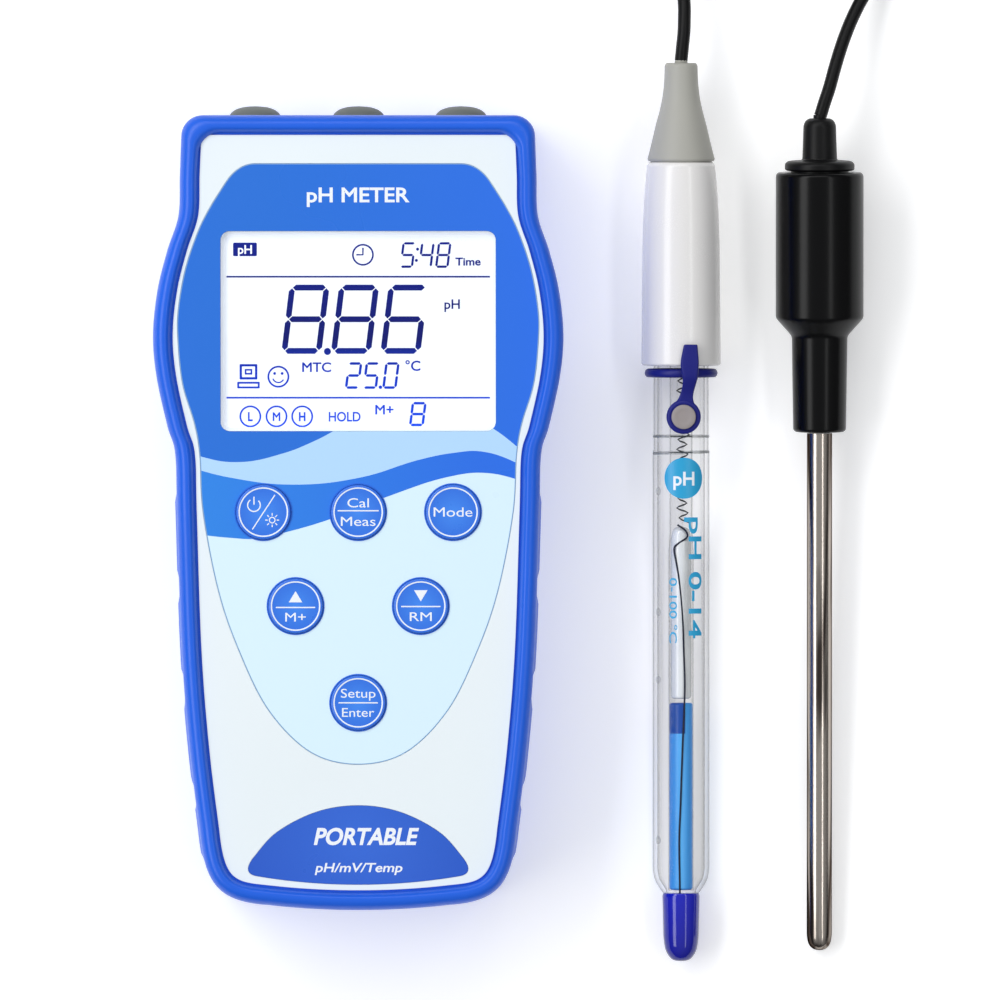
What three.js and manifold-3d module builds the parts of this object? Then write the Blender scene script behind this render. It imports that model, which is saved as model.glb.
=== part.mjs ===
// Handheld pH meter in a rubber sleeve, lying on its back beside the glass pH electrode and the
// steel temperature probe that plug into it. Millimetres, +Z up out of the meter's face, +Y towards
// the end with the sockets, floor at Z = 0.
import * as THREE from 'three';
import { mergeVertices, toCreasedNormals } from 'three/addons/utils/BufferGeometryUtils.js';
import Module from 'manifold-3d';

const wasm = await Module();
wasm.setup();

// ---- driving dimensions -------------------------------------------------------------------------
const GAP = 0.3; // clearance between touching pieces
const METER_X = -32.25;
const THICKNESS = 33; // sleeve, back to front rim
const TOP = 85; // sleeve's ends
const BOTTOM = -85.2;
const TOP_HALF = 37.9; // sleeve's half-width at the top corner
const SIDE = [ // sleeve's right side below the top corner: half-width, height up the meter
  [38.2, 72], [38.5, 63.5], [40.9, 56], [43, 47.5], [43.95, 38], [43.2, 29], [40.9, 18.5],
  [39.2, 12.5], [38.8, 0], [37.8, -29.5], [36.1, -51], [34, -68],
];
const LIP_FRONT = 3.8; // sleeve's rim over the casing's face
const LIP_BACK = 7.5;
const CAVITY = 2.3; // sleeve's wall
const GRIP_RISE = 0.35;
const GRIPS = [[3.3, -13.5], [-18.8, -34.4], [-41, -57.9], [-63, -74]]; // pads down each side
const CASE_INSET = CAVITY + GAP;
const CASE_WALL = 2;
const FACE_Z = 31.2; // casing's front face
const FACE_PLATE = 2.4;
const SPLIT_Z = 16; // where the two halves of the casing meet, round the gasket
const SPLIT_GAP = 0.9;
const BACK_Z = 2.3;
const BACK_PLATE = 2.2;
const OVERLAY = 0.5; // depth of the printed films' beds in the face
const PROUD = 0.1; // films and window above the face
const WINDOW = { width: 59, top: 60.2, bottom: 17.3, corner: 2.1, thick: 1.6 };
const KEY_R = 5.6;
const KEY_TOP = 32.2;
const KEYS = {
  key_power: [-20.3, 0],
  key_measure: [0, 0],
  key_mode: [20.3, 0],
  key_up: [-13.4, -20.1],
  key_down: [13.4, -20.1],
  key_enter: [0, -40.8],
};
const SOCKETS = { bnc: -22.2, data: 0, temp: 22 };
const SOCKET_Z = 16.5;
const SOCKET_HOLE_R = 6.6;
const SOCKET_ROOT = 70; // how far down the sockets reach
const CAP_R = 5.9;
const SOCKET_END = 83; // how far up the sockets reach
const CELL = { radius: 5.25, length: 44.5, y: -35, z: 10.6, nub: 1.4 };
const BAY = { x: 26, y0: -62, y1: -8 }; // battery bay's opening in the back
const SCREW = { head: 2.6, shank: 1, recess: 2.9, hole: 1.8, boss: 3.4, pilot: 1.3 }; // radii
const LCD = { x: 29.2, y0: 17.8, y1: 59.8 };

const ELECTRODE_X = 37;
const HEAD_END_Y = 31.5; // where the glass leaves the white head
const HEAD_R = 8.55;
const GLASS_R = 6.1;
const SHOULDER = -109.6; // along the electrode from the head's end
const GLASS_END = -113.3;
const BULB_R = 4.05;
const TIP = -128.1;
const HEAD_TOP = 43.7;
const EYE = [0.5, -10.9]; // filling hole, across and along the electrode

const PROBE_X = 66.75;
const HANDLE_EDGE_Y = 41.6;
const HANDLE_R = 9.45;
const ROD_R = 2.7;
const ROD_END = -136; // along the probe from the handle's edge

const CORD_R = 1.4;
const COIL = { inner: 9.6, outer: 24, height: 5.8, y: 142 };
const PH_COIL_X = 10;
const TEMP_COIL_X = 64;
const PH_ROUTE = [
  [37, 96.95, 10], [37.3, 100, 10], [37.6, 103, 9.7], [37.7, 106, 9.1], [37.7, 109, 8.2], [37.4, 112, 7.1],
  [36.9, 115, 5.9], [36.2, 118, 4.6], [35.3, 121, 3.4], [34.3, 124, 2.4], [33.5, 127, 1.7], [32.8, 130, 1.5],
];
const PH_TAIL = [
  [-2.3, 164.6, 4.3], [-8, 164.9, 4.2], [-14, 165.4, 4.6], [-21, 166, 5.6], [-28, 166.4, 6.8],
  [-34, 166.5, 7.25],
];
const TEMP_ROUTE = [
  [66.9, 85.1, 11.6], [67.8, 88, 11.4], [68.8, 91, 11], [69.9, 95, 10.1], [71.1, 99, 8.9], [72.5, 103, 7.6],
  [74.2, 107, 6.3], [76.3, 111, 5.1], [78.8, 115, 4], [81.4, 119, 3], [83.9, 123, 2.2], [85.8, 126.6, 1.6],
  [86.9, 130.2, 1.5],
];
const TEMP_TAIL = [
  [51.7, 164.6, 4.3], [46, 165.6, 4.2], [40, 168.3, 4.3], [34.5, 171.8, 4.6], [28.5, 174.4, 4.9],
  [22.5, 175, 5],
];

// ---- materials ----------------------------------------------------------------------------------
const finish = (color, roughness, metalness = 0, opacity = 1) =>
  new THREE.MeshStandardMaterial({ color, roughness, metalness, opacity, transparent: opacity < 1 });
const sleeveBlue = finish('#2f6fd8', 0.55);
const casing = finish('#e6eef2', 0.4);
const overlayBlue = finish('#3a7de4', 0.35);
const clear = finish('#f2f7fa', 0.08, 0, 0.35);
const lcdGrey = finish('#dfe6ea', 0.3);
const diffuserWhite = finish('#f4f4f0', 0.5);
const keyWhite = finish('#eaf4fa', 0.4);
const socketCapGrey = finish('#8b8f92', 0.7);
const matGrey = finish('#9aa0a4', 0.8);
const boardGreen = finish('#1d6b45', 0.5);
const nickel = finish('#c9ccd0', 0.25, 1);
const black = finish('#17181a', 0.35);
const blackRubber = finish('#151517', 0.6);
const cellJacket = finish('#3b3f45', 0.4);
const headWhite = finish('#e8e8ea', 0.3);
const reliefGrey = finish('#a5a7a0', 0.6);
const glass = finish('#eef6f8', 0.03, 0, 0.3);
const bulbBlue = finish('#1c22b0', 0.05);
const gelBlue = finish('#3aa4f4', 0.2);
const strapBlue = finish('#231e94', 0.5);
const steel = finish('#b9bcc0', 0.22, 1);

// ---- geometry helpers -----------------------------------------------------------------------------
const solid = (geometry) => {
  const bare = geometry.clone();
  bare.deleteAttribute('normal');
  bare.deleteAttribute('uv');
  const merged = mergeVertices(bare, 1e-4);
  return new wasm.Manifold(new wasm.Mesh({
    numProp: 3,
    vertProperties: new Float32Array(merged.attributes.position.array),
    triVerts: new Uint32Array(merged.index.array),
  }));
};

const geometryOf = (manifold) => {
  const mesh = manifold.getMesh();
  const geometry = new THREE.BufferGeometry();
  geometry.setAttribute('position', new THREE.BufferAttribute(mesh.vertProperties, 3));
  geometry.setIndex(new THREE.BufferAttribute(mesh.triVerts, 1));
  return toCreasedNormals(geometry, 0.6);
};

const join = (...geometries) => geometries.map(solid).reduce((a, b) => a.add(b));
const cut = (base, ...tools) => geometryOf(tools.reduce((a, tool) => a.subtract(solid(tool)), base));

const mesh = (name, geometry, material) => {
  const piece = new THREE.Mesh(geometry, material);
  piece.name = name;
  return piece;
};

// A flat outline raised from one height to another, with an optional rounded edge.
const slab = (points, low, high, edge = 0) => {
  const shape = new THREE.Shape(points);
  const geometry = new THREE.ExtrudeGeometry(shape, {
    depth: high - low - 2 * edge,
    bevelEnabled: edge > 0,
    bevelThickness: edge,
    bevelSize: edge,
    bevelOffset: -edge,
    bevelSegments: edge > 1 ? 2 : 1,
    steps: 1,
  });
  return geometry.translate(0, 0, low + edge);
};

const circle = (x, y, radius, sides = 20) =>
  new THREE.Shape().absarc(x, y, radius, 0, 2 * Math.PI).getPoints(sides / 2).slice(0, -1);

const disc = (x, y, radius, low, high, sides = 20) => slab(circle(x, y, radius, sides), low, high);

const roundedBox = (x0, y0, x1, y1, corner) => {
  const shape = new THREE.Shape();
  shape.moveTo(x0 + corner, y0);
  shape.absarc(x1 - corner, y0 + corner, corner, -Math.PI / 2, 0);
  shape.absarc(x1 - corner, y1 - corner, corner, 0, Math.PI / 2);
  shape.absarc(x0 + corner, y1 - corner, corner, Math.PI / 2, Math.PI);
  shape.absarc(x0 + corner, y0 + corner, corner, Math.PI, 1.5 * Math.PI);
  return shape.getPoints(2);
};

const box = (x0, x1, y0, y1, z0, z1) =>
  new THREE.BoxGeometry(x1 - x0, y1 - y0, z1 - z0).translate((x0 + x1) / 2, (y0 + y1) / 2, (z0 + z1) / 2);

// A turned piece whose axis is +Y: the profile gives radius and place along the axis.
const turned = (profile, segments = 16) =>
  new THREE.LatheGeometry(profile.map(([r, y]) => new THREE.Vector2(r, y)), segments);

// A rod or ring between two places along +Y, standing at x, z.
const rod = (radius, y0, y1, segments = 16) =>
  turned([[0, y0], [radius, y0], [radius, y1], [0, y1]], segments);
const ring = (inner, outer, y0, y1, segments = 20) =>
  turned([[inner, y0], [outer, y0], [outer, y1], [inner, y1], [inner, y0]], segments);

// A cord or wire of round section along a smooth curve.
const tube = (route, radius, steps, sides = 8) => {
  const section = new THREE.Shape(circle(0, 0, radius, sides));
  const path = new THREE.CatmullRomCurve3(route.map((p) => new THREE.Vector3(...p)));
  return new THREE.ExtrudeGeometry(section, { steps, extrudePath: path, bevelEnabled: false });
};

const mirrored = (half) => {
  const left = half.slice(1, -1).reverse().map((p) => new THREE.Vector2(-p.x, p.y));
  return [...half, ...left];
};

// The meter's outline moved inwards by inset: straight top, shouldered sides, rounded foot.
const meterOutline = (inset, corner = 4.6) => {
  const right = new THREE.Shape();
  right.moveTo(0, TOP - inset);
  right.lineTo(TOP_HALF - inset - corner, TOP - inset);
  right.absarc(TOP_HALF - inset - corner, TOP - inset - corner, corner, Math.PI / 2, 0, true);
  right.splineThru(SIDE.map(([x, y]) => new THREE.Vector2(x - inset, y)));
  right.bezierCurveTo(32.9 - inset, -79, 30.6 - inset, -83.4 + inset, 19.4, -84.1 + inset);
  right.quadraticCurveTo(10, BOTTOM + inset, 0, BOTTOM + inset);
  const half = right.curves.flatMap((curve, i) => {
    const count = [1, 3, 16, 5, 2][i];
    return curve.getPoints(count).slice(i === 0 ? 0 : 1);
  });
  return mirrored(half);
};

// ---- meter --------------------------------------------------------------------------------------
const meter = new THREE.Group();
meter.position.set(METER_X, 0, 0);

const socketBore = (x, radius, y0, y1) => rod(radius, y0, y1, 24).translate(x, 0, SOCKET_Z);

const sleeve = () => {
  const body = solid(slab(meterOutline(0), 0, THICKNESS, 3));
  const grips = GRIPS.flatMap(([y1, y0]) => {
    const band = solid(slab(meterOutline(-GRIP_RISE), 7, 26, 1));
    return [-1, 1].map((side) =>
      band.intersect(solid(box(side > 0 ? 28 : -46, side > 0 ? 46 : -28, y0, y1, 0, THICKNESS))));
  });
  const whole = grips.reduce((a, b) => a.add(b), body);
  return cut(
    whole,
    slab(meterOutline(CAVITY, 3.6), 2, FACE_Z + 0.3),
    slab(meterOutline(LIP_FRONT, 4), 20, THICKNESS + 2),
    slab(meterOutline(LIP_BACK, 4), -2, 10),
    ...Object.values(SOCKETS).map((x) => socketBore(x, CAP_R + GAP, SOCKET_ROOT, TOP + 2)),
  );
};
meter.add(mesh('sleeve', sleeve(), sleeveBlue));

const caseOuter = meterOutline(CASE_INSET, 3.4);
const caseInner = meterOutline(CASE_INSET + CASE_WALL, 2);
const OVERLAY_TOP = 74.6;
const OVERLAY_SIDE = [ // right side of the keypad film, from its top corner to its foot
  [25.8, 73.2], [30.3, 67.5], [34.2, 60.5], [37, 52], [38.5, 43.5], [38.6, 37], [37.6, 27.5],
  [35, 18.8], [33.9, 12], [33.2, 0], [30, -16.6], [25.6, -29.5], [19.2, -42.4], [10.5, -51.2], [0, -54],
];
const overlayPoints = (offset) => {
  const right = new THREE.Shape();
  right.moveTo(0, OVERLAY_TOP);
  right.lineTo(22, OVERLAY_TOP);
  right.splineThru(OVERLAY_SIDE.map(([x, y]) => new THREE.Vector2(x, y)));
  const half = right.curves.flatMap((curve, i) => curve.getPoints(i === 0 ? 1 : 18).slice(i));
  const end = half.length - 1;
  return mirrored(half.map(({ x, y }, i) => {
    const lift = y > 70 ? offset : y < -45 ? -offset : 0;
    return new THREE.Vector2(i === 0 || i === end ? 0 : x + offset, y + lift);
  }));
};
const windowBox = (grow) => roundedBox(-WINDOW.width / 2 - grow, WINDOW.bottom - grow,
  WINDOW.width / 2 + grow, WINDOW.top + grow, WINDOW.corner);
const labelPoints = (grow) => {
  const right = new THREE.Shape();
  right.moveTo(0, -62.8 + grow);
  const arch = [[9, -64.2], [17.5, -68.6], [22.6, -74.2]];
  right.splineThru(arch.map(([x, y]) => new THREE.Vector2(x + grow, y + grow)));
  right.quadraticCurveTo(24.6 + grow, -77.2, 21.6 + grow, -77.9 - grow);
  right.quadraticCurveTo(11, -79.7 - grow, 0, -79.7 - grow);
  const half = right.curves.flatMap((curve, i) => curve.getPoints([6, 3, 4][i]).slice(i === 0 ? 0 : 1));
  return mirrored(half);
};
const screwPlaces = [[-31, 65.8], [31, 65.8], [-27, -70], [27, -70]];
const FAR = 40; // beyond any face of the casing
const keyHoles = Object.values(KEYS).map(([x, y]) => disc(x, y, KEY_R + GAP, 20, FAR));
const socketHoles = Object.values(SOCKETS).map((x) => socketBore(x, SOCKET_HOLE_R, SOCKET_ROOT, TOP));

const FACE_BACK = FACE_Z - FACE_PLATE;
const frontShell = cut(
  solid(slab(caseOuter, SPLIT_Z + SPLIT_GAP, FACE_Z)),
  slab(caseInner, 0, FACE_BACK),
  slab(overlayPoints(0.2), FACE_Z - OVERLAY, FAR),
  slab(labelPoints(0.2), FACE_Z - OVERLAY, FAR),
  slab(windowBox(GAP), 20, FAR),
  ...keyHoles,
  ...socketHoles,
);
const screwBoss = ([x, y]) => cut(
  solid(disc(x, y, SCREW.boss, SPLIT_Z + 2, FACE_BACK + 0.5, 16)),
  disc(x, y, SCREW.pilot, 0, 27, 12),
);
const frontCase = geometryOf(join(frontShell, ...screwPlaces.map(screwBoss)));
meter.add(mesh('front_case', frontCase, casing));

const doorScrews = [[-18, -58], [18, -58]];
const rearCase = cut(
  solid(slab(caseOuter, BACK_Z, SPLIT_Z - SPLIT_GAP)),
  slab(caseInner, BACK_Z + BACK_PLATE, FAR),
  slab(roundedBox(-BAY.x, BAY.y0, BAY.x, BAY.y1, 3), 0, 10),
  ...screwPlaces.map(([x, y]) => disc(x, y, SCREW.recess, 0, BACK_Z + 1.2, 16)),
  ...screwPlaces.map(([x, y]) => disc(x, y, SCREW.hole, 0, 10, 16)),
  ...socketHoles,
);
meter.add(mesh('rear_case', rearCase, casing));

// The gasket stops short of the top end, where the sockets cross the split.
const gasket = cut(
  solid(slab(meterOutline(CASE_INSET + GAP, 3), SPLIT_Z - 2 * GAP, SPLIT_Z + 2 * GAP)),
  slab(meterOutline(CASE_INSET + CASE_WALL - GAP, 2.2), 0, FAR),
  ...socketHoles,
  box(-30, 30, 76, 86, 0, FAR),
);
meter.add(mesh('case_gasket', gasket, blackRubber));

const FILM_Z = FACE_Z - OVERLAY + PROUD;
const FILM_TOP = FACE_Z + PROUD;
const overlay = cut(
  solid(slab(overlayPoints(0), FILM_Z, FILM_TOP)),
  slab(windowBox(GAP), 0, FAR),
  ...keyHoles,
);
meter.add(mesh('keypad_overlay', overlay, overlayBlue));
meter.add(mesh('lower_label', slab(labelPoints(0), FILM_Z, FILM_TOP), overlayBlue));

const WINDOW_Z = FILM_TOP - WINDOW.thick;
meter.add(mesh('display_window', slab(windowBox(0), WINDOW_Z, FILM_TOP), clear));
const layer = ({ x, y0, y1 }, high, thick) => box(-x, x, y0, y1, high - thick, high);
meter.add(mesh('lcd_panel', layer(LCD, WINDOW_Z - GAP, 1.6), lcdGrey));
meter.add(mesh('lcd_backlight', layer(LCD, WINDOW_Z - 2.2, 1.8), diffuserWhite));

// Each key is a capped plunger with a flange that keeps it behind the face.
const FLANGE_TOP = FACE_BACK - GAP;
const FLANGE_R = KEY_R + 0.9;
Object.entries(KEYS).forEach(([name, [x, y]]) => {
  const profile = [
    [0, FLANGE_TOP - 1], [FLANGE_R, FLANGE_TOP - 1], [FLANGE_R, FLANGE_TOP], [KEY_R, FLANGE_TOP],
    [KEY_R, KEY_TOP - 0.5], [KEY_R - 0.5, KEY_TOP - 0.1], [KEY_R - 1.2, KEY_TOP], [0, KEY_TOP],
  ];
  meter.add(mesh(name, turned(profile, 20).rotateX(Math.PI / 2).translate(x, y, 0), keyWhite));
});

// The key mat has a raised pad under each key, and lies on the circuit board.
const MAT_TOP = FLANGE_TOP - 1.8;
const keypadMat = join(
  layer({ x: 28, y0: -48, y1: 8 }, MAT_TOP - 0.4, 1),
  ...Object.values(KEYS).map(([x, y]) => disc(x, y, 4, MAT_TOP - 1, MAT_TOP, 16)),
);
meter.add(mesh('keypad_mat', geometryOf(keypadMat), matGrey));
const BOARD_TOP = MAT_TOP - 1.7;
const mainBoard = join(
  slab(roundedBox(-31, -55, 31, 62, 4), BOARD_TOP - 1.6, BOARD_TOP),
  box(-9, 3, 24, 36, BOARD_TOP - 3.4, BOARD_TOP - 1),
  box(10, 20, 42, 50, BOARD_TOP - 3.2, BOARD_TOP - 1),
);
meter.add(mesh('main_board', geometryOf(mainBoard), boardGreen));

// Sockets in the top end: bayonet jack, data port and phono jack, each behind a pull-off cap.
const jack = (x, outer, inner, pin, sides = 20) => {
  const profile = [
    [0, SOCKET_ROOT], [outer + 1, SOCKET_ROOT], [outer + 1, 77.5], [outer, 77.5], [outer, SOCKET_END],
    [inner, SOCKET_END], [inner, 76], [pin, 76], [pin, SOCKET_END - 1], [0, SOCKET_END - 1],
  ];
  return turned(profile, sides).translate(x, 0, SOCKET_Z);
};
meter.add(mesh('bnc_socket', jack(SOCKETS.bnc, 4.8, 4.1, 2.4), nickel));
meter.add(mesh('data_socket', jack(SOCKETS.data, 4.6, 3.6, 1), nickel));
meter.add(mesh('temp_socket', jack(SOCKETS.temp, 4.4, 3.7, 2.6), nickel));
Object.entries(SOCKETS).forEach(([kind, x]) => {
  const profile = [
    [0, SOCKET_END + 0.5], [5.1, SOCKET_END + 0.5], [5.1, 78.4], [CAP_R, 78.4], [CAP_R, TOP + 0.6],
    [CAP_R - 0.7, TOP + 1.6], [CAP_R - 2, TOP + 2.1], [0, TOP + 2.2],
  ];
  meter.add(mesh(`socket_cap_${kind}`, turned(profile).translate(x, 0, SOCKET_Z), socketCapGrey));
});

// Battery bay: three cells side by side between two contact plates, under a screwed door.
const CELL_END = CELL.length / 2;
[-12.5, 0, 12.5].forEach((x, i) => {
  const profile = [
    [0, -CELL_END], [CELL.radius, -CELL_END], [CELL.radius, CELL_END - CELL.nub],
    [1.9, CELL_END - CELL.nub], [1.9, CELL_END], [0, CELL_END],
  ];
  const cell = turned(profile, 20).translate(x, CELL.y, CELL.z);
  meter.add(mesh(`battery_cell_${i + 1}`, cell, cellJacket));
});
const CONTACT = 0.6;
const contact = (name, y) => meter.add(mesh(name, box(-19, 19, y, y + CONTACT, 6.5, 15), nickel));
contact('battery_contact_top', CELL.y + CELL_END + GAP);
contact('battery_contact_foot', CELL.y - CELL_END - GAP - CONTACT);
const doorOutline = roundedBox(-BAY.x + GAP, BAY.y0 + GAP, BAY.x - GAP, BAY.y1 - GAP, 2.7);
const doorHoles = doorScrews.map(([x, y]) => disc(x, y, SCREW.hole, 0, 10, 16));
const door = cut(
  solid(slab(doorOutline, 1.2, 3.3, 0.4)),
  ...doorHoles,
  ...doorScrews.map(([x, y]) => disc(x, y, SCREW.recess, 0, 2.3, 16)),
);
meter.add(mesh('battery_door', door, casing));
const doorSeal = cut(
  solid(slab(roundedBox(-BAY.x + 0.5, BAY.y0 + 0.5, BAY.x - 0.5, BAY.y1 - 0.5, 2.5), 3.6, 4.6)),
  slab(roundedBox(-BAY.x + 2.5, BAY.y0 + 7, BAY.x - 2.5, BAY.y1 - 2.5, 1.5), 0, 10),
  ...doorHoles,
);
meter.add(mesh('door_seal', doorSeal, blackRubber));

// Cross-head screws driven from the back.
const screw = (x, y, low, high, head) => cut(
  join(disc(x, y, SCREW.head, low, low + head, 16), disc(x, y, SCREW.shank, low + head - 0.2, high, 12)),
  box(x - 1.6, x + 1.6, y - 0.3, y + 0.3, low - 1, low + 0.5),
  box(x - 0.3, x + 0.3, y - 1.6, y + 1.6, low - 1, low + 0.5),
);
doorScrews.forEach(([x, y], i) =>
  meter.add(mesh(`door_screw_${i + 1}`, screw(x, y, 1.3, 4.6, 0.7), steel)));
screwPlaces.forEach(([x, y], i) =>
  meter.add(mesh(`case_screw_${i + 1}`, screw(x, y, 2.4, 24, 0.8), steel)));

// ---- pH electrode ---------------------------------------------------------------------------------
// It lies on the head's lower edge and on the shoulder of its glass, so its tip dips a little.
const electrode = new THREE.Group();
const electrodeTilt = Math.atan((HEAD_R - GLASS_R) / -SHOULDER);
electrode.position.set(ELECTRODE_X, HEAD_END_Y, HEAD_R * Math.cos(electrodeTilt));
electrode.rotation.x = electrodeTilt;

const head = turned([
  [0, 12], [GLASS_R + GAP, 12], [GLASS_R + GAP, 0], [8.3, 0], [HEAD_R, 0.3], [8.45, 8], [8.1, 20],
  [7.6, 33], [7.3, HEAD_TOP - 0.6], [6.9, HEAD_TOP], [0, HEAD_TOP],
], 20);
electrode.add(mesh('electrode_head', head, headWhite));
const relief = turned([
  [0, HEAD_TOP + GAP], [6.9, HEAD_TOP + GAP], [7.3, HEAD_TOP + 0.8], [6.2, HEAD_TOP + 4],
  [5.2, HEAD_TOP + 9], [4.4, HEAD_TOP + 14.5], [3.65, HEAD_TOP + 21], [3.3, HEAD_TOP + 21.4],
  [0, HEAD_TOP + 21.4],
]);
electrode.add(mesh('electrode_relief', relief, reliefGrey));

const shaft = turned([
  [BULB_R, GLASS_END], [4.6, -112.4], [5.7, -110.6], [GLASS_R, SHOULDER], [GLASS_R, 11], [5.1, 11],
  [5.1, -109], [4.7, -110.4], [3.3, -112.6], [3.1, GLASS_END], [BULB_R, GLASS_END],
], 20);
const fillingHole = rod(2, 0, 10, 16).rotateX(Math.PI / 2).translate(...EYE, 0);
electrode.add(mesh('glass_tube', cut(solid(shaft), fillingHole), glass));
const bulb = turned([
  [0, TIP], [1.6, TIP + 0.35], [2.9, TIP + 1.4], [3.6, TIP + 2.8], [3.85, TIP + 5],
  [BULB_R, GLASS_END - GAP], [0, GLASS_END - GAP],
]);
electrode.add(mesh('sensing_bulb', bulb, bulbBlue));

// Inside the glass: reference tube, gel round the inner lead, and a silver wire bent to and fro.
electrode.add(mesh('inner_tube', ring(2.3, 2.7, GLASS_END + 0.6, 9, 20), glass));
electrode.add(mesh('reference_gel', ring(0.6, 2, GLASS_END + 0.4, -72.5, 16), gelBlue));
const innerLead = [
  [0, -112.5, 0], [0, -90, 0], [0, -70, 0], [0.9, -50, 0], [-0.9, -42, 0], [0, -38, 0],
];
electrode.add(mesh('inner_wire', tube(innerLead, 0.3, 12, 6), black));
const zigzag = Array.from({ length: 17 }, (_, i) => [i % 2 ? 1.5 : -1.5, -2 - 2 * i, 3.5]);
electrode.add(mesh('silver_wire', tube(zigzag, 0.3, 48, 4), nickel));

// Silicone ring round the glass, with a tab over the head and a strap to the filling-hole plug.
const strapRing = join(
  ring(GLASS_R + GAP, 7.95, -2.7, -GAP, 20),
  box(-2.4, 2.4, -2.7, -GAP, 7, 9.75),
  box(-2, 2, -2.7, 4.6, 8.85, 9.75),
);
electrode.add(mesh('strap_ring', geometryOf(strapRing), strapBlue));
const strap = cut(
  join(box(-1.7, 2, -8, -3.4, 6.5, 7.6), disc(...EYE, 3.7, 6.5, 7.9, 24)),
  disc(...EYE, 2, 0, 20, 20),
);
electrode.add(mesh('filling_strap', strap, strapBlue));
const plug = turned([[0, 4.9], [1.5, 4.9], [1.65, 8.2], [2.6, 8.2], [2.4, 8.8], [0, 8.9]], 20);
electrode.add(mesh('filling_plug', plug.rotateX(Math.PI / 2).translate(...EYE, 0), reliefGrey));

// ---- temperature probe ----------------------------------------------------------------------------
// It lies on the edge of its handle and on the tip of its rod.
const probe = new THREE.Group();
const probeTilt = Math.atan((HANDLE_R - ROD_R) / -(ROD_END + ROD_R));
probe.position.set(PROBE_X, HANDLE_EDGE_Y, HANDLE_R * Math.cos(probeTilt));
probe.rotation.x = probeTilt;
const handle = turned([
  [0, -24.4], [5.3, -24.4], [5.7, -24], [6, -3.8], [6.6, -3.1], [8.9, -0.5], [HANDLE_R, 0],
  [HANDLE_R, 30.9], [9.1, 31.4], [0, 31.4],
], 20);
probe.add(mesh('probe_handle', handle, black));
const probeRelief = turned([
  [0, 31.7], [7.1, 31.7], [7.5, 32.1], [7.5, 33.3], [7, 33.8], [3.9, 34], [3.5, 41.8], [3, 42.7],
  [2.2, 43], [0, 43],
]);
probe.add(mesh('probe_relief', probeRelief, blackRubber));
const probeRod = turned([
  [0, ROD_END], [1, ROD_END + 0.25], [1.9, ROD_END + 0.85], [2.5, ROD_END + 1.8],
  [ROD_R, ROD_END + ROD_R], [ROD_R, -24.7], [0, -24.7],
]);
probe.add(mesh('probe_rod', probeRod, steel));

// ---- cords, wound up at their far ends --------------------------------------------------------------
const cords = new THREE.Group();
const coil = (name, x) => {
  const { inner, outer, height, y } = COIL;
  const ringSolid = turned([[inner, 0.1], [outer, 0.1], [outer, height], [inner, height], [inner, 0.1]], 24);
  cords.add(mesh(name, ringSolid.rotateX(Math.PI / 2).translate(x, y, 0), blackRubber));
};
cords.add(mesh('ph_cord', tube(PH_ROUTE, CORD_R, 14), blackRubber));
coil('ph_coil', PH_COIL_X);
cords.add(mesh('ph_cord_tail', tube(PH_TAIL, CORD_R, 10), blackRubber));
cords.add(mesh('temp_cord', tube(TEMP_ROUTE, CORD_R, 18), blackRubber));
coil('temp_coil', TEMP_COIL_X);
cords.add(mesh('temp_cord_tail', tube(TEMP_TAIL, CORD_R, 10), blackRubber));

// Bayonet plug: crimped body with a hollow nose, inside a collar that turns.
const BNC = { x: -34.3, y: 166.5, radius: 7.25 };
const lying = (geometry, { x, y, radius }) => geometry.rotateZ(Math.PI / 2).translate(x, y, radius);
const bncPlug = turned([
  [0, 0], [3.1, 0], [3.4, 1], [3.4, 12], [5, 13.5], [5, 19], [4, 19.4], [4, 33], [3.5, 33],
  [3.5, 25], [0.7, 25], [0.5, 32], [0, 32],
]);
cords.add(mesh('bnc_plug', lying(bncPlug, BNC), nickel));
cords.add(mesh('bnc_collar', lying(ring(5.3, BNC.radius, 14, 34.6, 24), BNC), nickel));

const PHONO = { x: 22.2, y: 175, radius: 5 };
const phonoPlug = turned([
  [0, 0], [2.4, 0], [3.2, 6], [PHONO.radius, 9], [PHONO.radius, 26], [4.4, 27], [4.4, 35],
  [3.8, 35], [3.8, 28], [1.6, 28], [1.6, 38], [1, 39], [0, 39],
]);
cords.add(mesh('phono_plug', lying(phonoPlug, PHONO), black));

const phMeter = new THREE.Group();
phMeter.add(meter, electrode, probe, cords);
export default phMeter;
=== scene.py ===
import math

import bmesh
import bpy
from mathutils import Matrix, Vector


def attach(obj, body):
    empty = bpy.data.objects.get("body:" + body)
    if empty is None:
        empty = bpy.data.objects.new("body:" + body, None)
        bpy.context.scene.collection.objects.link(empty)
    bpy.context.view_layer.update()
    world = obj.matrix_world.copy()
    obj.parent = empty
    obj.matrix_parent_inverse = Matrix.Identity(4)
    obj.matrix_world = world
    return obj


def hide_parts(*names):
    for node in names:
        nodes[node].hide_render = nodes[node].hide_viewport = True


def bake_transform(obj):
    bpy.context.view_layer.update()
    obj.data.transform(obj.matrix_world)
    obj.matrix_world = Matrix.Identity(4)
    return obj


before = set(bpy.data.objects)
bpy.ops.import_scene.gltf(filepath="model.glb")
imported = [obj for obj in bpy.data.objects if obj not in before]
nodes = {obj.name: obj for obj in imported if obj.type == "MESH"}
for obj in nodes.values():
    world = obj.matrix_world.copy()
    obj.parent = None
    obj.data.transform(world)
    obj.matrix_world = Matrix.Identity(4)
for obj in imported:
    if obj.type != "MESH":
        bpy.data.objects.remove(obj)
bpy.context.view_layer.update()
MM = 0.001  # the sizes below are in millimetres; meshes are in metres

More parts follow.
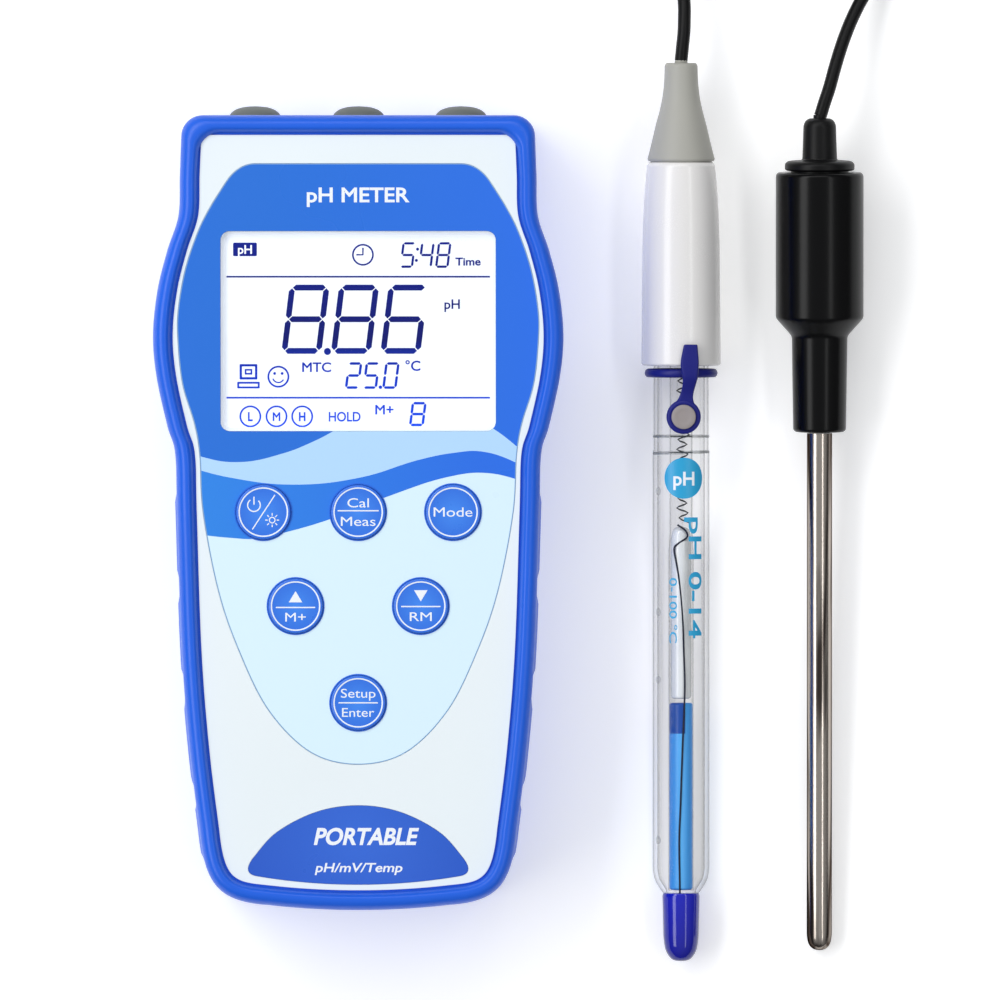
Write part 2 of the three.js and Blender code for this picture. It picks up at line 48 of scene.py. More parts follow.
# ---- Bench, lamps and camera ----------------------------------------------------------------------
# A pale bench top lit by two long soft boxes, one on each side, and a broad one overhead.
# The camera looks straight down from far above, so the pieces show almost without perspective.
CAMERA_HEIGHT = 6000 * MM
VIEW_WIDTH = 214.6 * MM
AIM = Vector((-1.9 * MM, 2.6 * MM, 15 * MM))

scene = bpy.context.scene
scene.view_settings.view_transform = "Standard"

camera_data = bpy.data.cameras.new("camera")
camera_data.sensor_width = 36
camera_data.lens = 36 * CAMERA_HEIGHT / VIEW_WIDTH
camera = bpy.data.objects.new("camera", camera_data)
camera.location = AIM + Vector((0, 0, CAMERA_HEIGHT))
scene.collection.objects.link(camera)
scene.camera = camera


def lamp(name, place, size, watts):
    data = bpy.data.lights.new(name, "AREA")
    data.shape = "RECTANGLE"
    data.size, data.size_y = size
    data.energy = watts
    shade = bpy.data.objects.new(name, data)
    shade.location = place
    shade.rotation_euler = (AIM - Vector(place)).to_track_quat("-Z", "Y").to_euler()
    scene.collection.objects.link(shade)


lamp("soft_box_left", (-0.75, 0.12, 0.9), (1.5, 0.42), 8)
lamp("soft_box_right", (0.66, 0.05, 1.1), (1.5, 0.14), 2.4)
lamp("soft_box_head", (-0.2, 0.95, 1.0), (1.4, 0.5), 4.8)

sky = bpy.data.worlds.new("studio")
sky.use_nodes = True
sky_tree = sky.node_tree
sky_toward = sky_tree.nodes.new("ShaderNodeTexCoord")
sky_up = sky_tree.nodes.new("ShaderNodeSeparateXYZ")
sky_shade = sky_tree.nodes.new("ShaderNodeValToRGB")
for stop, (height, light) in zip((0, 1), ((0.05, 0.14), (0.95, 0.52))):
    sky_shade.color_ramp.elements[stop].position = height
    sky_shade.color_ramp.elements[stop].color = (light * 0.95, light * 0.97, light, 1)
sky_tree.links.new(sky_toward.outputs["Generated"], sky_up.inputs[0])
sky_tree.links.new(sky_up.outputs["Z"], sky_shade.inputs[0])
sky_tree.links.new(sky_shade.outputs[0], sky_tree.nodes["Background"].inputs["Color"])
scene.world = sky


def mesh_object(name, points, faces):
    mesh = bpy.data.meshes.new(name)
    mesh.from_pydata([tuple(p) for p in points], [], faces)
    made = bpy.data.objects.new(name, mesh)
    scene.collection.objects.link(made)
    return made


bench = mesh_object("bench", [(-3, -3, 0), (3, -3, 0), (3, 3, 0), (-3, 3, 0)], [(0, 1, 2, 3)])
bench_finish = bpy.data.materials.new("bench_white")
bench_finish.use_nodes = True
bench_shader = bench_finish.node_tree.nodes["Principled BSDF"]
bench_shader.inputs["Base Color"].default_value = (0.95, 0.95, 0.95, 1)
bench_shader.inputs["Roughness"].default_value = 0.9
bench_shader.inputs["Emission Color"].default_value = (1, 1, 1, 1)
bench_shader.inputs["Emission Strength"].default_value = 0.3
bench.data.materials.append(bench_finish)
bench.location.z = -0.0002

# ---- The two leads --------------------------------------------------------------------------------
# Round black leads of soft rubber, one metre each, moulded into the electrode's and the probe's
# heads. What isn't needed on the bench is wound in two flat layers and held by a hook-and-loop tie.
LEAD = 2.8
COIL_Y = 142
COIL_OUT = 22.4  # radius of the outermost turn's centre line
COIL_TURNS = 4  # in each of the two layers
PH_COIL_X, TEMP_COIL_X = 10, 64
PH_ROUTE = [
    (37, 96.95, 10), (37.3, 100, 10), (37.6, 103, 9.7), (37.7, 106, 9.1), (37.7, 109, 8.2),
    (37.4, 112, 7.1), (36.9, 115, 5.9), (36.2, 118, 4.6), (35.3, 121, 3.4), (34.3, 124, 2.4),
    (33.5, 127, 1.7), (32.8, 130, 1.5),
]
PH_TAIL = [
    (-2.3, 164.6, 4.3), (-8, 164.9, 4.2), (-14, 165.4, 4.6), (-21, 166, 5.6), (-28, 166.4, 6.8),
    (-34, 166.5, 7.25),
]
TEMP_ROUTE = [
    (66.9, 85.1, 11.6), (67.8, 88, 11.4), (68.8, 91, 11), (69.9, 95, 10.1), (71.1, 99, 8.9),
    (72.5, 103, 7.6), (74.2, 107, 6.3), (76.3, 111, 5.1), (78.8, 115, 4), (81.4, 119, 3),
    (83.9, 123, 2.2), (85.8, 126.6, 1.6), (86.9, 130.2, 1.5),
]
TEMP_TAIL = [
    (51.7, 164.6, 4.3), (46, 165.6, 4.2), (40, 168.3, 4.3), (34.5, 171.8, 4.6), (28.5, 174.4, 4.9),
    (22.5, 175, 5),
]


def paint(code, alpha=1):
    """A colour as it would be read off a paint card, #rrggbb."""
    parts = [int(code[i:i + 2], 16) / 255 for i in (1, 3, 5)]
    return [c / 12.92 if c <= 0.04045 else ((c + 0.055) / 1.055) ** 2.4 for c in parts] + [alpha]


class Value:
    """A shader socket that plain arithmetic works on."""

    def __init__(self, finish, socket):
        self.finish = finish
        self.socket = socket

    def math(self, operation, *others):
        values = {i: v for i, v in enumerate((self,) + others)}
        return self.finish.node("Math", {"operation": operation}, values)

    def __add__(self, other):
        return self.math("ADD", other)

    def __sub__(self, other):
        return self.math("SUBTRACT", other)

    def __mul__(self, other):
        return self.math("MULTIPLY", other)

    def __truediv__(self, other):
        return self.math("DIVIDE", other)

    def __rsub__(self, other):
        return self.finish.node("Math", {"operation": "SUBTRACT"}, {0: other, 1: self})

    def __pow__(self, other):
        return self.math("POWER", other)

    def __lt__(self, other):
        return self.math("LESS_THAN", other)

    def __gt__(self, other):
        return self.math("GREATER_THAN", other)

    def __abs__(self):
        return self.math("ABSOLUTE")

    __radd__ = __add__
    __rmul__ = __mul__

    def part(self, axis):
        return self.finish.node("SeparateXYZ", {}, {0: self}, axis)

    def clamped(self):
        return self.finish.node("Clamp", {}, {0: self})


class Finish:
    """A material mixed for one piece, around a Principled shader."""

    def __init__(self, name, color="#808080", roughness=0.5, **fixed):
        self.material = bpy.data.materials.new(name)
        self.material.use_nodes = True
        self.tree = self.material.node_tree
        self.shader = self.tree.nodes["Principled BSDF"]
        self.put("Base Color", paint(color) if isinstance(color, str) else color)
        self.put("Roughness", roughness)
        for name, value in fixed.items():
            self.put(name.replace("_", " ").title().replace("Ior", "IOR"), value)

    def fill(self, socket, value):
        if isinstance(value, Value):
            self.tree.links.new(value.socket, socket)
        else:
            socket.default_value = value

    def put(self, name, value):
        self.fill(self.shader.inputs[name], value)
        return self

    def node(self, kind, settings, sockets, output=0):
        made = self.tree.nodes.new("ShaderNode" + kind)
        for key, value in settings.items():
            if key == "stops":
                ramp = made.color_ramp
                while len(ramp.elements) < len(value):
                    ramp.elements.new(0.5)
                for element, (stop, color) in zip(ramp.elements, value):
                    element.position = stop
                    element.color = color
            elif key == "curve":
                curve = made.mapping.curves[0]
                while len(curve.points) < len(value):
                    curve.points.new(0.5, 0.5)
                for point, place in zip(curve.points, value):
                    point.location = place
                made.mapping.update()
            else:
                setattr(made, key, value)
        for key, value in sockets.items():
            self.fill(made.inputs[key], value)
        return Value(self, made.outputs[output])

    def place(self):
        return self.node("TexCoord", {}, {}, "Object")

    def noise(self, per_mm, detail=2, stretch=(1, 1, 1)):
        where = self.node("Mapping", {}, {"Vector": self.place(), "Scale": stretch})
        return self.node("TexNoise", {}, {"Vector": where, "Scale": per_mm / MM, "Detail": detail})

    def mix(self, factor, under, over):
        return self.node("Mix", {"data_type": "RGBA"}, {0: factor, 6: under, 7: over}, 2)

    def bump(self, height, depth_mm, strength=1):
        sockets = {"Height": height, "Distance": depth_mm * MM, "Strength": strength}
        return self.put("Normal", self.node("Bump", {}, sockets))

    def worn(self, spread, base, fine_per_mm=2, grain_mm=0.01, tint=0.08):
        """Uneven handling: roughness and tone wander, and the surface has a fine grain."""
        broad = self.noise(0.03, 3)
        fine = self.noise(fine_per_mm, 3)
        color = list(self.shader.inputs["Base Color"].default_value)
        darker = [c * (1 - tint) for c in color[:3]] + [1]
        self.put("Base Color", self.mix(broad, color, darker))
        self.put("Roughness", base + (broad - 0.5) * spread + (fine - 0.5) * (spread * 0.5))
        return self.bump(fine, grain_mm)


def dress(made, finish, body, slot, *stands_for):
    """Gives a piece its material and body, and hides the CAD nodes it stands for. Its slot is not used."""
    made.data.materials.clear()
    made.data.materials.append(finish.material)
    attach(made, body)
    if stands_for:
        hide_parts(*stands_for)
    return made


def smooth(made, degrees=32):
    made.data.shade_smooth()
    made.data.set_sharp_from_angle(angle=math.radians(degrees))
    return made


def step_between(low, high, value):
    t = min(max((value - low) / (high - low), 0), 1)
    return t * t * (3 - 2 * t)


def coil_points(x, per_turn=16):
    """Four turns inwards on the bench, then four outwards on top of them, ending at the far side."""
    points = []
    for i in range(int((2 * COIL_TURNS + 0.25) * per_turn) + 1):
        turn = i / per_turn
        inward = min(turn, COIL_TURNS)
        outward = min(max(turn - COIL_TURNS, 0), COIL_TURNS)
        radius = COIL_OUT - LEAD * inward + LEAD * outward
        height = LEAD / 2 + 0.05 + LEAD * step_between(COIL_TURNS - 0.5, COIL_TURNS + 0.5, turn)
        angle = 2 * math.pi * turn
        points.append((x + radius * math.cos(angle), COIL_Y + radius * math.sin(angle), height))
    return points


def lead(name, route, x, tail, body, *stands_for):
    data = bpy.data.curves.new(name, "CURVE")
    data.dimensions = "3D"
    data.bevel_depth = LEAD / 2 * MM
    data.bevel_resolution = 4
    data.resolution_u = 6
    data.use_fill_caps = True
    points = route + coil_points(x) + tail
    spline = data.splines.new("BEZIER")
    spline.bezier_points.add(len(points) - 1)
    for knot, point in zip(spline.bezier_points, points):
        knot.co = Vector(point) * MM
        knot.handle_left_type = knot.handle_right_type = "AUTO"
    made = bpy.data.objects.new(name, data)
    scene.collection.objects.link(made)
    return dress(made, lead_rubber, body, "cord_rubber", *stands_for)


lead_rubber = Finish("lead_rubber", "#070708", 0.4, specular_ior_level=0.2).worn(0.16, 0.4, 3, 0.008, 0.2)
ph_lead = lead("ph_lead", PH_ROUTE, PH_COIL_X, PH_TAIL, "electrode", "ph_cord", "ph_coil", "ph_cord_tail")
temp_lead = lead("temp_lead", TEMP_ROUTE, TEMP_COIL_X, TEMP_TAIL, "temp_probe",
                 "temp_cord", "temp_coil", "temp_cord_tail")

# ---- Coil ties ------------------------------------------------------------------------------------
# A strip of black hook-and-loop tape wrapped once round the turns of each coil.
TIE_WIDTH = 9
TIE_Z = 2.98


def rounded_loop(half_long, half_high, radius, steps=5):
    """A rounded rectangle's points, anticlockwise, about its centre."""
    points = []
    for turn, (sx, sy) in enumerate(((1, 1), (-1, 1), (-1, -1), (1, -1))):
        for step in range(steps + 1):
            angle = (turn + step / steps) * math.pi / 2
            points.append((sx * (half_long - radius) + radius * math.cos(angle),
                           sy * (half_high - radius) + radius * math.sin(angle)))
    return points


def skin(name, rows, capped=False):
    """A surface over rings of points in millimetres; unless it is capped, its last ring meets its first."""
    count = len(rows[0])
    faces = []
    for a in range(len(rows) - capped):
        b = (a + 1) % len(rows)
        for i in range(count):
            j = (i + 1) % count
            faces.append((a * count + i, b * count + i, b * count + j, a * count + j))
    if capped:
        last = (len(rows) - 1) * count
        faces += [list(range(count)), list(range(last, last + count))[::-1]]
    return mesh_object(name, [Vector(p) * MM for row in rows for p in row], faces)


def tie(name, x, body):
    inner, outer = rounded_loop(7.15, 2.85, 1.3), rounded_loop(7.7, 2.95, 1.5)
    middle = COIL_Y - COIL_OUT + LEAD * COIL_TURNS / 2
    near, far = x - TIE_WIDTH / 2, x + TIE_WIDTH / 2
    rows = [[(across, middle + px, TIE_Z + pz) for px, pz in loop]
            for loop, across in ((inner, near), (inner, far), (outer, far), (outer, near))]
    return dress(smooth(skin(name, rows)), tie_tape, body, "black_rubber")


tie_tape = Finish("tie_tape", "#1d1e20", 0.9).worn(0.1, 0.88, 6, 0.05, 0.3)
ph_tie = tie("ph_coil_tie", PH_COIL_X, "electrode")
temp_tie = tie("temp_coil_tie", TEMP_COIL_X, "temp_probe")

# ---- Protective sleeve ----------------------------------------------------------------------------
# One piece of blue silicone rubber, moulded with a rounded rim that stands above the casing's face
# and four grip pads down each side. It is stretched over the closed casing.
METER_X = -32.25
TOP, BOTTOM, TOP_HALF = 85, -85.2, 37.9
SIDE = [
    (38.2, 72), (38.5, 63.5), (40.9, 56), (43, 47.5), (43.95, 38), (43.2, 29), (40.9, 18.5),
    (39.2, 12.5), (38.8, 0), (37.8, -29.5), (36.1, -51), (34, -68),
]
SOCKETS = {"bnc": -22.2, "data": 0, "temp": 22}
SOCKET_Z = 16.5
GRIPS = [(3.3, -13.5), (-18.8, -34.4), (-41, -57.9), (-63, -74)]


def spline(knots, steps):
    """Points on a smooth curve through the knots, without the last one."""
    padded = [knots[0]] + list(knots) + [knots[-1]]
    points = []
    for a, b, c, d in zip(padded, padded[1:], padded[2:], padded[3:]):
        for step in range(steps):
            t = step / steps
            points.append(tuple(
                (2 * q + (r - p) * t + (2 * p - 5 * q + 4 * r - s) * t * t
                 + (3 * q - p - 3 * r + s) * t ** 3) / 2
                for p, q, r, s in zip(a, b, c, d)))
    return points


def bezier(knots, steps):
    """Points on a quadratic or cubic curve, without the last one."""
    points = []
    for step in range(steps):
        row = [Vector(k) for k in knots]
        while len(row) > 1:
            row = [p.lerp(q, step / steps) for p, q in zip(row, row[1:])]
        points.append(tuple(row[0]))
    return points


def arc(x, y, radius, start, end, steps):
    """Points round a centre between two angles in degrees, without the last one."""
    angles = [math.radians(start + (end - start) * i / steps) for i in range(steps)]
    return [(x + radius * math.cos(a), y + radius * math.sin(a)) for a in angles]


def both_sides(half):
    """A closed outline from its right half, which runs from the top centre to the bottom centre."""
    return half + [(-x, y) for x, y in half[-2:0:-1]]


def meter_outline(inset, corner=4.6):
    across = TOP_HALF - inset - corner
    half = [(across * i / 24, TOP - inset) for i in range(24)]
    half += arc(across, TOP - inset - corner, corner, 90, 0, 10)
    half += spline([(TOP_HALF - inset, TOP - inset - corner)] + [(x - inset, y) for x, y in SIDE], 18)
    foot = -84.1 + inset
    half += bezier([(34 - inset, -68), (32.9 - inset, -79), (30.6 - inset, foot + 0.7), (19.4, foot)], 24)
    half += bezier([(19.4, foot), (10, BOTTOM + inset), (0, BOTTOM + inset)], 12)
    return both_sides(half + [(0, BOTTOM + inset)])


def swept(name, section, outline, grow=lambda x, y, z, inset: (x, y, z)):
    """A closed ring: the section's points give an inset from the outline and a height."""
    return skin(name, [[grow(x + METER_X, y, z, inset) for x, y in outline(inset)] for inset, z in section])


def grip_pads(x, y, z, inset):
    if inset > 0.5 or abs(x - METER_X) < 25:
        return (x, y, z)
    rise = max(step_between(y0 - 0.5, y0 + 0.7, y) * (1 - step_between(y1 - 0.7, y1 + 0.5, y))
               for y1, y0 in GRIPS)
    rise *= step_between(5.6, 7.2, z) * (1 - step_between(26, 27.6, z))
    return (x + math.copysign(0.38 * rise, x - METER_X), y, z)


FOOT_R = 3.4
sleeve_section = [(7.5, 2.0), (7.5, 0.35), (7.15, 0), (FOOT_R, 0)]
sleeve_section += [(FOOT_R - u, v + FOOT_R) for u, v in arc(0, 0, FOOT_R, -90, 0, 7)]
sleeve_section += [(0, z) for z in (3.4, 5.2, 5.8, 6.4, 7, 7.6, 12, 20, 25.6, 26.2, 26.8, 27.4, 28.2, 30)]
sleeve_section += [(2.2 - 2.2 * u, 30 + 3 * v) for u, v in arc(0, 0, 1, 12, 96, 7)]
sleeve_section += [
    (2.5, 33), (2.8, 32.9), (3.08, 32.65), (3.32, 32.25), (3.55, 31.8), (3.72, 31.4), (3.75, 31)]
sleeve_section += [(3.78, 30.68), (4.5, 30.64), (4.5, 30.58), (2.4, 30.58), (2.4, 17), (2.4, 2.0)]
sleeve = swept("sleeve_skin", sleeve_section, meter_outline, grip_pads)


def drilled(made, *cutters):
    """Cuts the cutters out of a piece and removes them."""
    for cutter in cutters:
        tool = made.modifiers.new("drill", "BOOLEAN")
        tool.operation = "DIFFERENCE"
        tool.solver = "EXACT"
        tool.object = cutter
        view = bpy.context.evaluated_depsgraph_get()
        result = bpy.data.meshes.new_from_object(made.evaluated_get(view))
        made.modifiers.clear()
        made.data = result
        bpy.data.objects.remove(cutter)
    return made


def filleted(profile, steps=5):
    """A profile's points, each given as radius, place and, where the corner is rounded, its radius."""
    points = []
    for i, point in enumerate(profile):
        here = Vector(point[:2])
        if len(point) < 3 or i in (0, len(profile) - 1):
            points.append(here)
            continue
        before = Vector(profile[i - 1][:2]) - here
        after = Vector(profile[i + 1][:2]) - here
        reach = min(point[2], before.length * 0.49, after.length * 0.49)
        start, end = here + before.normalized() * reach, here + after.normalized() * reach
        points += [start.lerp(here, k / steps).lerp(here.lerp(end, k / steps), k / steps)
                   for k in range(steps + 1)]
    return points


def turned(name, profile, place, segments=96, flutes=None):
    """A piece turned about its own +Y axis and set down by a matrix; flutes ripple its radius."""
    rows = filleted(profile)
    swept_volume = sum((a * a + a * b + b * b) * (high - low) for (a, low), (b, high) in zip(rows, rows[1:]))
    points, faces, rings = [], [], []
    for radius, along in rows:
        if radius < 1e-6:
            rings.append([len(points)] * segments)
            points.append((0, along, 0))
            continue
        rings.append(list(range(len(points), len(points) + segments)))
        for i in range(segments):
            angle = 2 * math.pi * i / segments
            ripple = radius + (flutes(radius, along, angle) if flutes else 0)
            points.append((ripple * math.sin(angle), along, ripple * math.cos(angle)))
    for a, b in zip(rings, rings[1:]):
        for i in range(segments):
            j = (i + 1) % segments
            face = [a[i], b[i], b[j], a[j]]
            face = [v for k, v in enumerate(face) if v != face[k - 1]]
            if len(face) > 2:
                faces.append(face[::-1] if swept_volume > 0 else face)
    return mesh_object(name, [place @ (Vector(p) * MM) for p in points], faces)


def at(x, y, z):
    return Matrix.Translation((x * MM, y * MM, z * MM))


def square_on(x, y):
    """Where a piece turned about the meter's thickness stands."""
    return at(METER_X + x, y, 0) @ Matrix.Rotation(math.radians(90), 4, "X")


def bore(radius, start, end, place, segments=48):
    """A round cutter along a piece's own +Y axis."""
    return turned("bore", [(0, start), (radius, start), (radius, end), (0, end)], place, segments)


METER_PLACE = at(METER_X, 0, 0)
for x in SOCKETS.values():
    drilled(sleeve, bore(6.2, 72, 88, at(METER_X + x, 0, SOCKET_Z), 64))
smooth(sleeve, 40)

silicone = Finish("sleeve_silicone", "#1764e8", 0.34, specular_ior_level=0.4)
silicone.worn(0.18, 0.34, 4, 0.01, 0.16)
dress(sleeve, silicone, "meter", "sleeve_rubber", "sleeve")

# ---- Casing ---------------------------------------------------------------------------------------
# Two halves of pale moulded ABS, screwed together round a rubber gasket. The face has a shallow bed
# for the printed film and another for the lower label, and stops just short of the sleeve's lip.
FACE_Z = 31.2
BED_Z = FACE_Z - 0.5
KEYS = {
    "power": (-20.3, 0), "measure": (0, 0), "mode": (20.3, 0),
    "up": (-13.4, -20.1), "down": (13.4, -20.1), "enter": (0, -40.8),
}
KEY_R = 5.85
WINDOW_HALF, WINDOW_TOP, WINDOW_FOOT = 29.5, 60.2, 17.3


def grown(outline, distance):
    """A closed clockwise outline moved outwards by a distance."""
    moved = []
    before, after = outline[-1:] + outline[:-1], outline[1:] + outline[:1]
    for (x0, y0), (x, y), (x1, y1) in zip(before, outline, after):
        long = math.hypot(x1 - x0, y1 - y0)
        moved.append((x - (y1 - y0) / long * distance, y + (x1 - x0) / long * distance))
    return moved


def film_outline(grow=0):
    steps = 12
    half = [(22 * i / 8, 74.6) for i in range(8)]
    half += bezier([(22, 74.6), (25.6, 74.6), (28.2, 70.8)], 10)
    half += spline([
        (28.2, 70.8), (31.6, 65.4), (34.3, 60), (37, 52), (38.5, 43.5), (38.6, 37), (37.6, 27.5),
        (35, 18.8), (33.9, 12), (33.2, 0), (30, -16.6), (25.6, -29.5), (19.2, -42.4), (10.2, -51.4),
        (0, -54), (-10.2, -51.4)], steps)[:-steps]
    return grown(both_sides(half + [(0, -54)]), grow)


def label_outline(grow=0):
    steps = 12
    half = spline([(-9, -64.2), (0, -62.8), (9, -64.2), (17.5, -68.6), (22.6, -74.2)], steps)[steps:]
    half += bezier([(22.6, -74.2), (24.9, -77.4), (21.6, -77.9)], 8)
    half += bezier([(21.6, -77.9), (11, -79.7), (0, -79.7)], 10)
    return grown(both_sides(half + [(0, -79.7)]), grow)


def rectangle(x0, y0, x1, y1, corner, steps=8):
    left, right, foot, top = x0 + corner, x1 - corner, y0 + corner, y1 - corner
    return (arc(right, top, corner, 90, 0, steps) + arc(right, foot, corner, 0, -90, steps)
            + arc(left, foot, corner, -90, -180, steps) + arc(left, top, corner, 180, 90, steps))


def round_outline(x, y, radius, steps=64):
    return arc(x, y, radius, 0, 360, steps)


def slab(outlines, low, high, edge=0):
    """A flat piece in millimetres from its outlines, outer ones and holes, with rounded edges."""
    data = bpy.data.curves.new("slab", "CURVE")
    data.dimensions = "2D"
    data.fill_mode = "BOTH"
    data.extrude = (high - low) / 2 - edge
    data.bevel_depth = edge
    data.bevel_resolution = 2
    data.offset = -edge
    for outline in outlines:
        line = data.splines.new("POLY")
        line.points.add(len(outline) - 1)
        line.use_cyclic_u = True
        for point, (x, y) in zip(line.points, outline):
            point.co = (x, y, 0, 1)
    shape = bpy.data.objects.new("slab", data)
    mesh = bpy.data.meshes.new_from_object(shape)
    mesh.transform(Matrix.Translation((0, 0, (low + high) / 2)))
    bpy.data.objects.remove(shape)
    return mesh


def merged(name, meshes, place):
    """One object from several meshes in millimetres, whose own objects go."""
    points, faces = [], []
    for mesh in meshes:
        start = len(points)
        points += [place @ (v.co * MM) for v in mesh.vertices]
        faces += [[start + v for v in face.vertices] for face in mesh.polygons]
        bpy.data.meshes.remove(mesh)
    return mesh_object(name, points, faces)


IN_METRES = Matrix.Scale(1 / MM, 4)  # for meshes that are in metres already


def plates(name, layers):
    return merged(name, [slab(*layer) for layer in layers], METER_PLACE)


key_holes = [round_outline(x, y, KEY_R + 0.06) for x, y in KEYS.values()]
window_outline = rectangle(-WINDOW_HALF, WINDOW_FOOT, WINDOW_HALF, WINDOW_TOP, 2.1)
face = plates("front_casing", [
    ([meter_outline(4.25, 1.6), film_outline(0.05), label_outline(0.05)], BED_Z - 0.2, FACE_Z, 0.08),
    ([meter_outline(2.8, 3.4), window_outline] + key_holes, 28.8, BED_Z - 0.15, 0),
])
walls = swept("casing_walls", [(2.65, 17.0), (2.65, 28.9), (4.6, 28.9), (4.6, 17.0)],
              lambda inset: meter_outline(inset, 3.4 if inset < 3 else 2))
for x in SOCKETS.values():
    drilled(walls, bore(6.6, 72, 84, at(METER_X + x, 0, SOCKET_Z)))
abs_plastic = Finish("casing_abs", "#eef7fb", 0.36)
abs_plastic.worn(0.12, 0.38, 5, 0.008, 0.05)
for made in (face, walls):
    dress(smooth(made), abs_plastic, "meter", "case_plastic")
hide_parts("front_case")

# ---- Printed film ---------------------------------------------------------------------------------
# A polyester film printed from behind: blue round the display, a pale wave and a blue wave over the
# keys, very pale blue below, and a dark blue ring round each key.
FILM_BLUE, FILM_DEEP, FILM_SKY, FILM_ICE = "#2a72d8", "#2c70e6", "#b6dcff", "#dcf4ff"
UPPER_EDGE = [
    (-34, 12), (-26, 10.7), (-16, 12.6), (-9, 15.4), (-2, 19), (10, 23), (22, 21.5), (28.7, 18), (34, 14)]
PALE_FOOT = [
    (-34, 9), (-27.4, 7.4), (-14.5, 5.9), (0.4, 7.4), (13.4, 11.3), (20.5, 12.7), (26.3, 13), (34, 10.5)]
BAND_FOOT = [(-34, -4.8), (-27.4, -5.5), (-22, -5.7), (-14.7, -4.1), (-5.7, -1.4), (6.2, 3.3), (20.5, 7.8),
             (27, 8.4), (34, 7)]


def below(finish, across, up, edge):
    """1 where the print lies below an edge given by its places, in millimetres."""
    knots = [((x + 40) / 80, (y + 40) / 80) for x, y in edge]
    line = finish.node("FloatCurve", {"curve": knots}, {"Factor": 1, "Value": (across + 40) / 80})
    return up < line * 80 - 40


def on_face(finish):
    """How far across and up the meter's face a point lies, in millimetres."""
    return finish.place().part(0) / MM - METER_X, finish.place().part(1) / MM


def from_centre(across, up, x, y):
    return ((across - x) ** 2 + (up - y) ** 2) ** 0.5


film = plates("printed_film", [([film_outline(), window_outline] + key_holes, BED_Z, FACE_Z + 0.05, 0.05)])
print_film = Finish("printed_film", FILM_BLUE, 0.3, specular_ior_level=0.3)
across, up = on_face(print_film)
shade = print_film.mix(((across + 20) / 60).clamped(), paint(FILM_BLUE), paint(FILM_DEEP))
band = print_film.mix(((across + 34) / 60).clamped(), paint("#3287e6"), paint(FILM_DEEP))
for edge, color in ((UPPER_EDGE, paint(FILM_SKY)), (PALE_FOOT, band), (BAND_FOOT, paint(FILM_ICE))):
    shade = print_film.mix(below(print_film, across, up, edge), shade, color)
for x, y in KEYS.values():
    shade = print_film.mix(from_centre(across, up, x, y) < 6.2, shade, paint("#2f6fdd"))
print_film.put("Base Color", shade)
print_film.put("Roughness", 0.3 + (print_film.noise(0.05, 3) - 0.5) * 0.15)
print_film.bump(print_film.noise(9, 2), 0.004)
dress(smooth(film), print_film, "meter", "overlay_film", "keypad_overlay")

film_edge = plates("film_edge_line", [([film_outline(0), film_outline(-0.17)], FACE_Z + 0.04, FACE_Z + 0.07)])
edge_ink = Finish("film_edge_ink", "#86b2e0", 0.35).worn(0.1, 0.35, 9, 0.002, 0.1)
dress(film_edge, edge_ink, "meter", "overlay_film")

# ---- Film lettering -------------------------------------------------------------------------------
# White ink under the film's gloss: the kind of instrument, above the display. Only plain words.
CAP_OF_FONT = 0.729


def stroke(points, width):
    """The outline of a line of even width through the points."""
    left, right = [], []
    for i, (x, y) in enumerate(points):
        x0, y0 = points[max(i - 1, 0)]
        x1, y1 = points[min(i + 1, len(points) - 1)]
        long = math.hypot(x1 - x0, y1 - y0)
        nx, ny = -(y1 - y0) / long * width / 2, (x1 - x0) / long * width / 2
        left.append((x + nx, y + ny))
        right.append((x - nx, y - ny))
    return left + right[::-1]


def lettering(text, x, y, cap, width, low=0, high=0.03, lean=0, heavy=0, turn=0):
    """Words as a flat mesh in millimetres, centred on a place, with a given capital height."""
    data = bpy.data.curves.new("words", "FONT")
    data.body = text
    data.align_x = "CENTER"
    data.resolution_u = 5
    data.bevel_depth = heavy
    data.bevel_resolution = 0
    data.extrude = 0.01
    shape = bpy.data.objects.new("words", data)
    mesh = bpy.data.meshes.new_from_object(shape)
    bpy.data.objects.remove(shape)
    across = [v.co.x for v in mesh.vertices]
    size_x, size_y = width / (max(across) - min(across)), cap / CAP_OF_FONT
    middle = (max(across) + min(across)) / 2
    angle = math.radians(turn)
    for v in mesh.vertices:
        py = v.co.y * size_y - cap / 2
        px = (v.co.x - middle) * size_x + py * math.tan(math.radians(lean))
        v.co = (x + px * math.cos(angle) - py * math.sin(angle),
                y + px * math.sin(angle) + py * math.cos(angle), high if v.co.z > 0 else low)
    return mesh


INK_LOW, INK_HIGH = FACE_Z + 0.04, FACE_Z + 0.08
white_ink = Finish("white_ink", "#f4f9ff", 0.35).worn(0.1, 0.35, 8, 0.002, 0.04)
title = lettering("pH METER", 0, 68, 3.2, 22, INK_LOW, INK_HIGH, heavy=0.02)
dress(merged("film_title", [title], METER_PLACE), white_ink, "meter", "overlay_film")

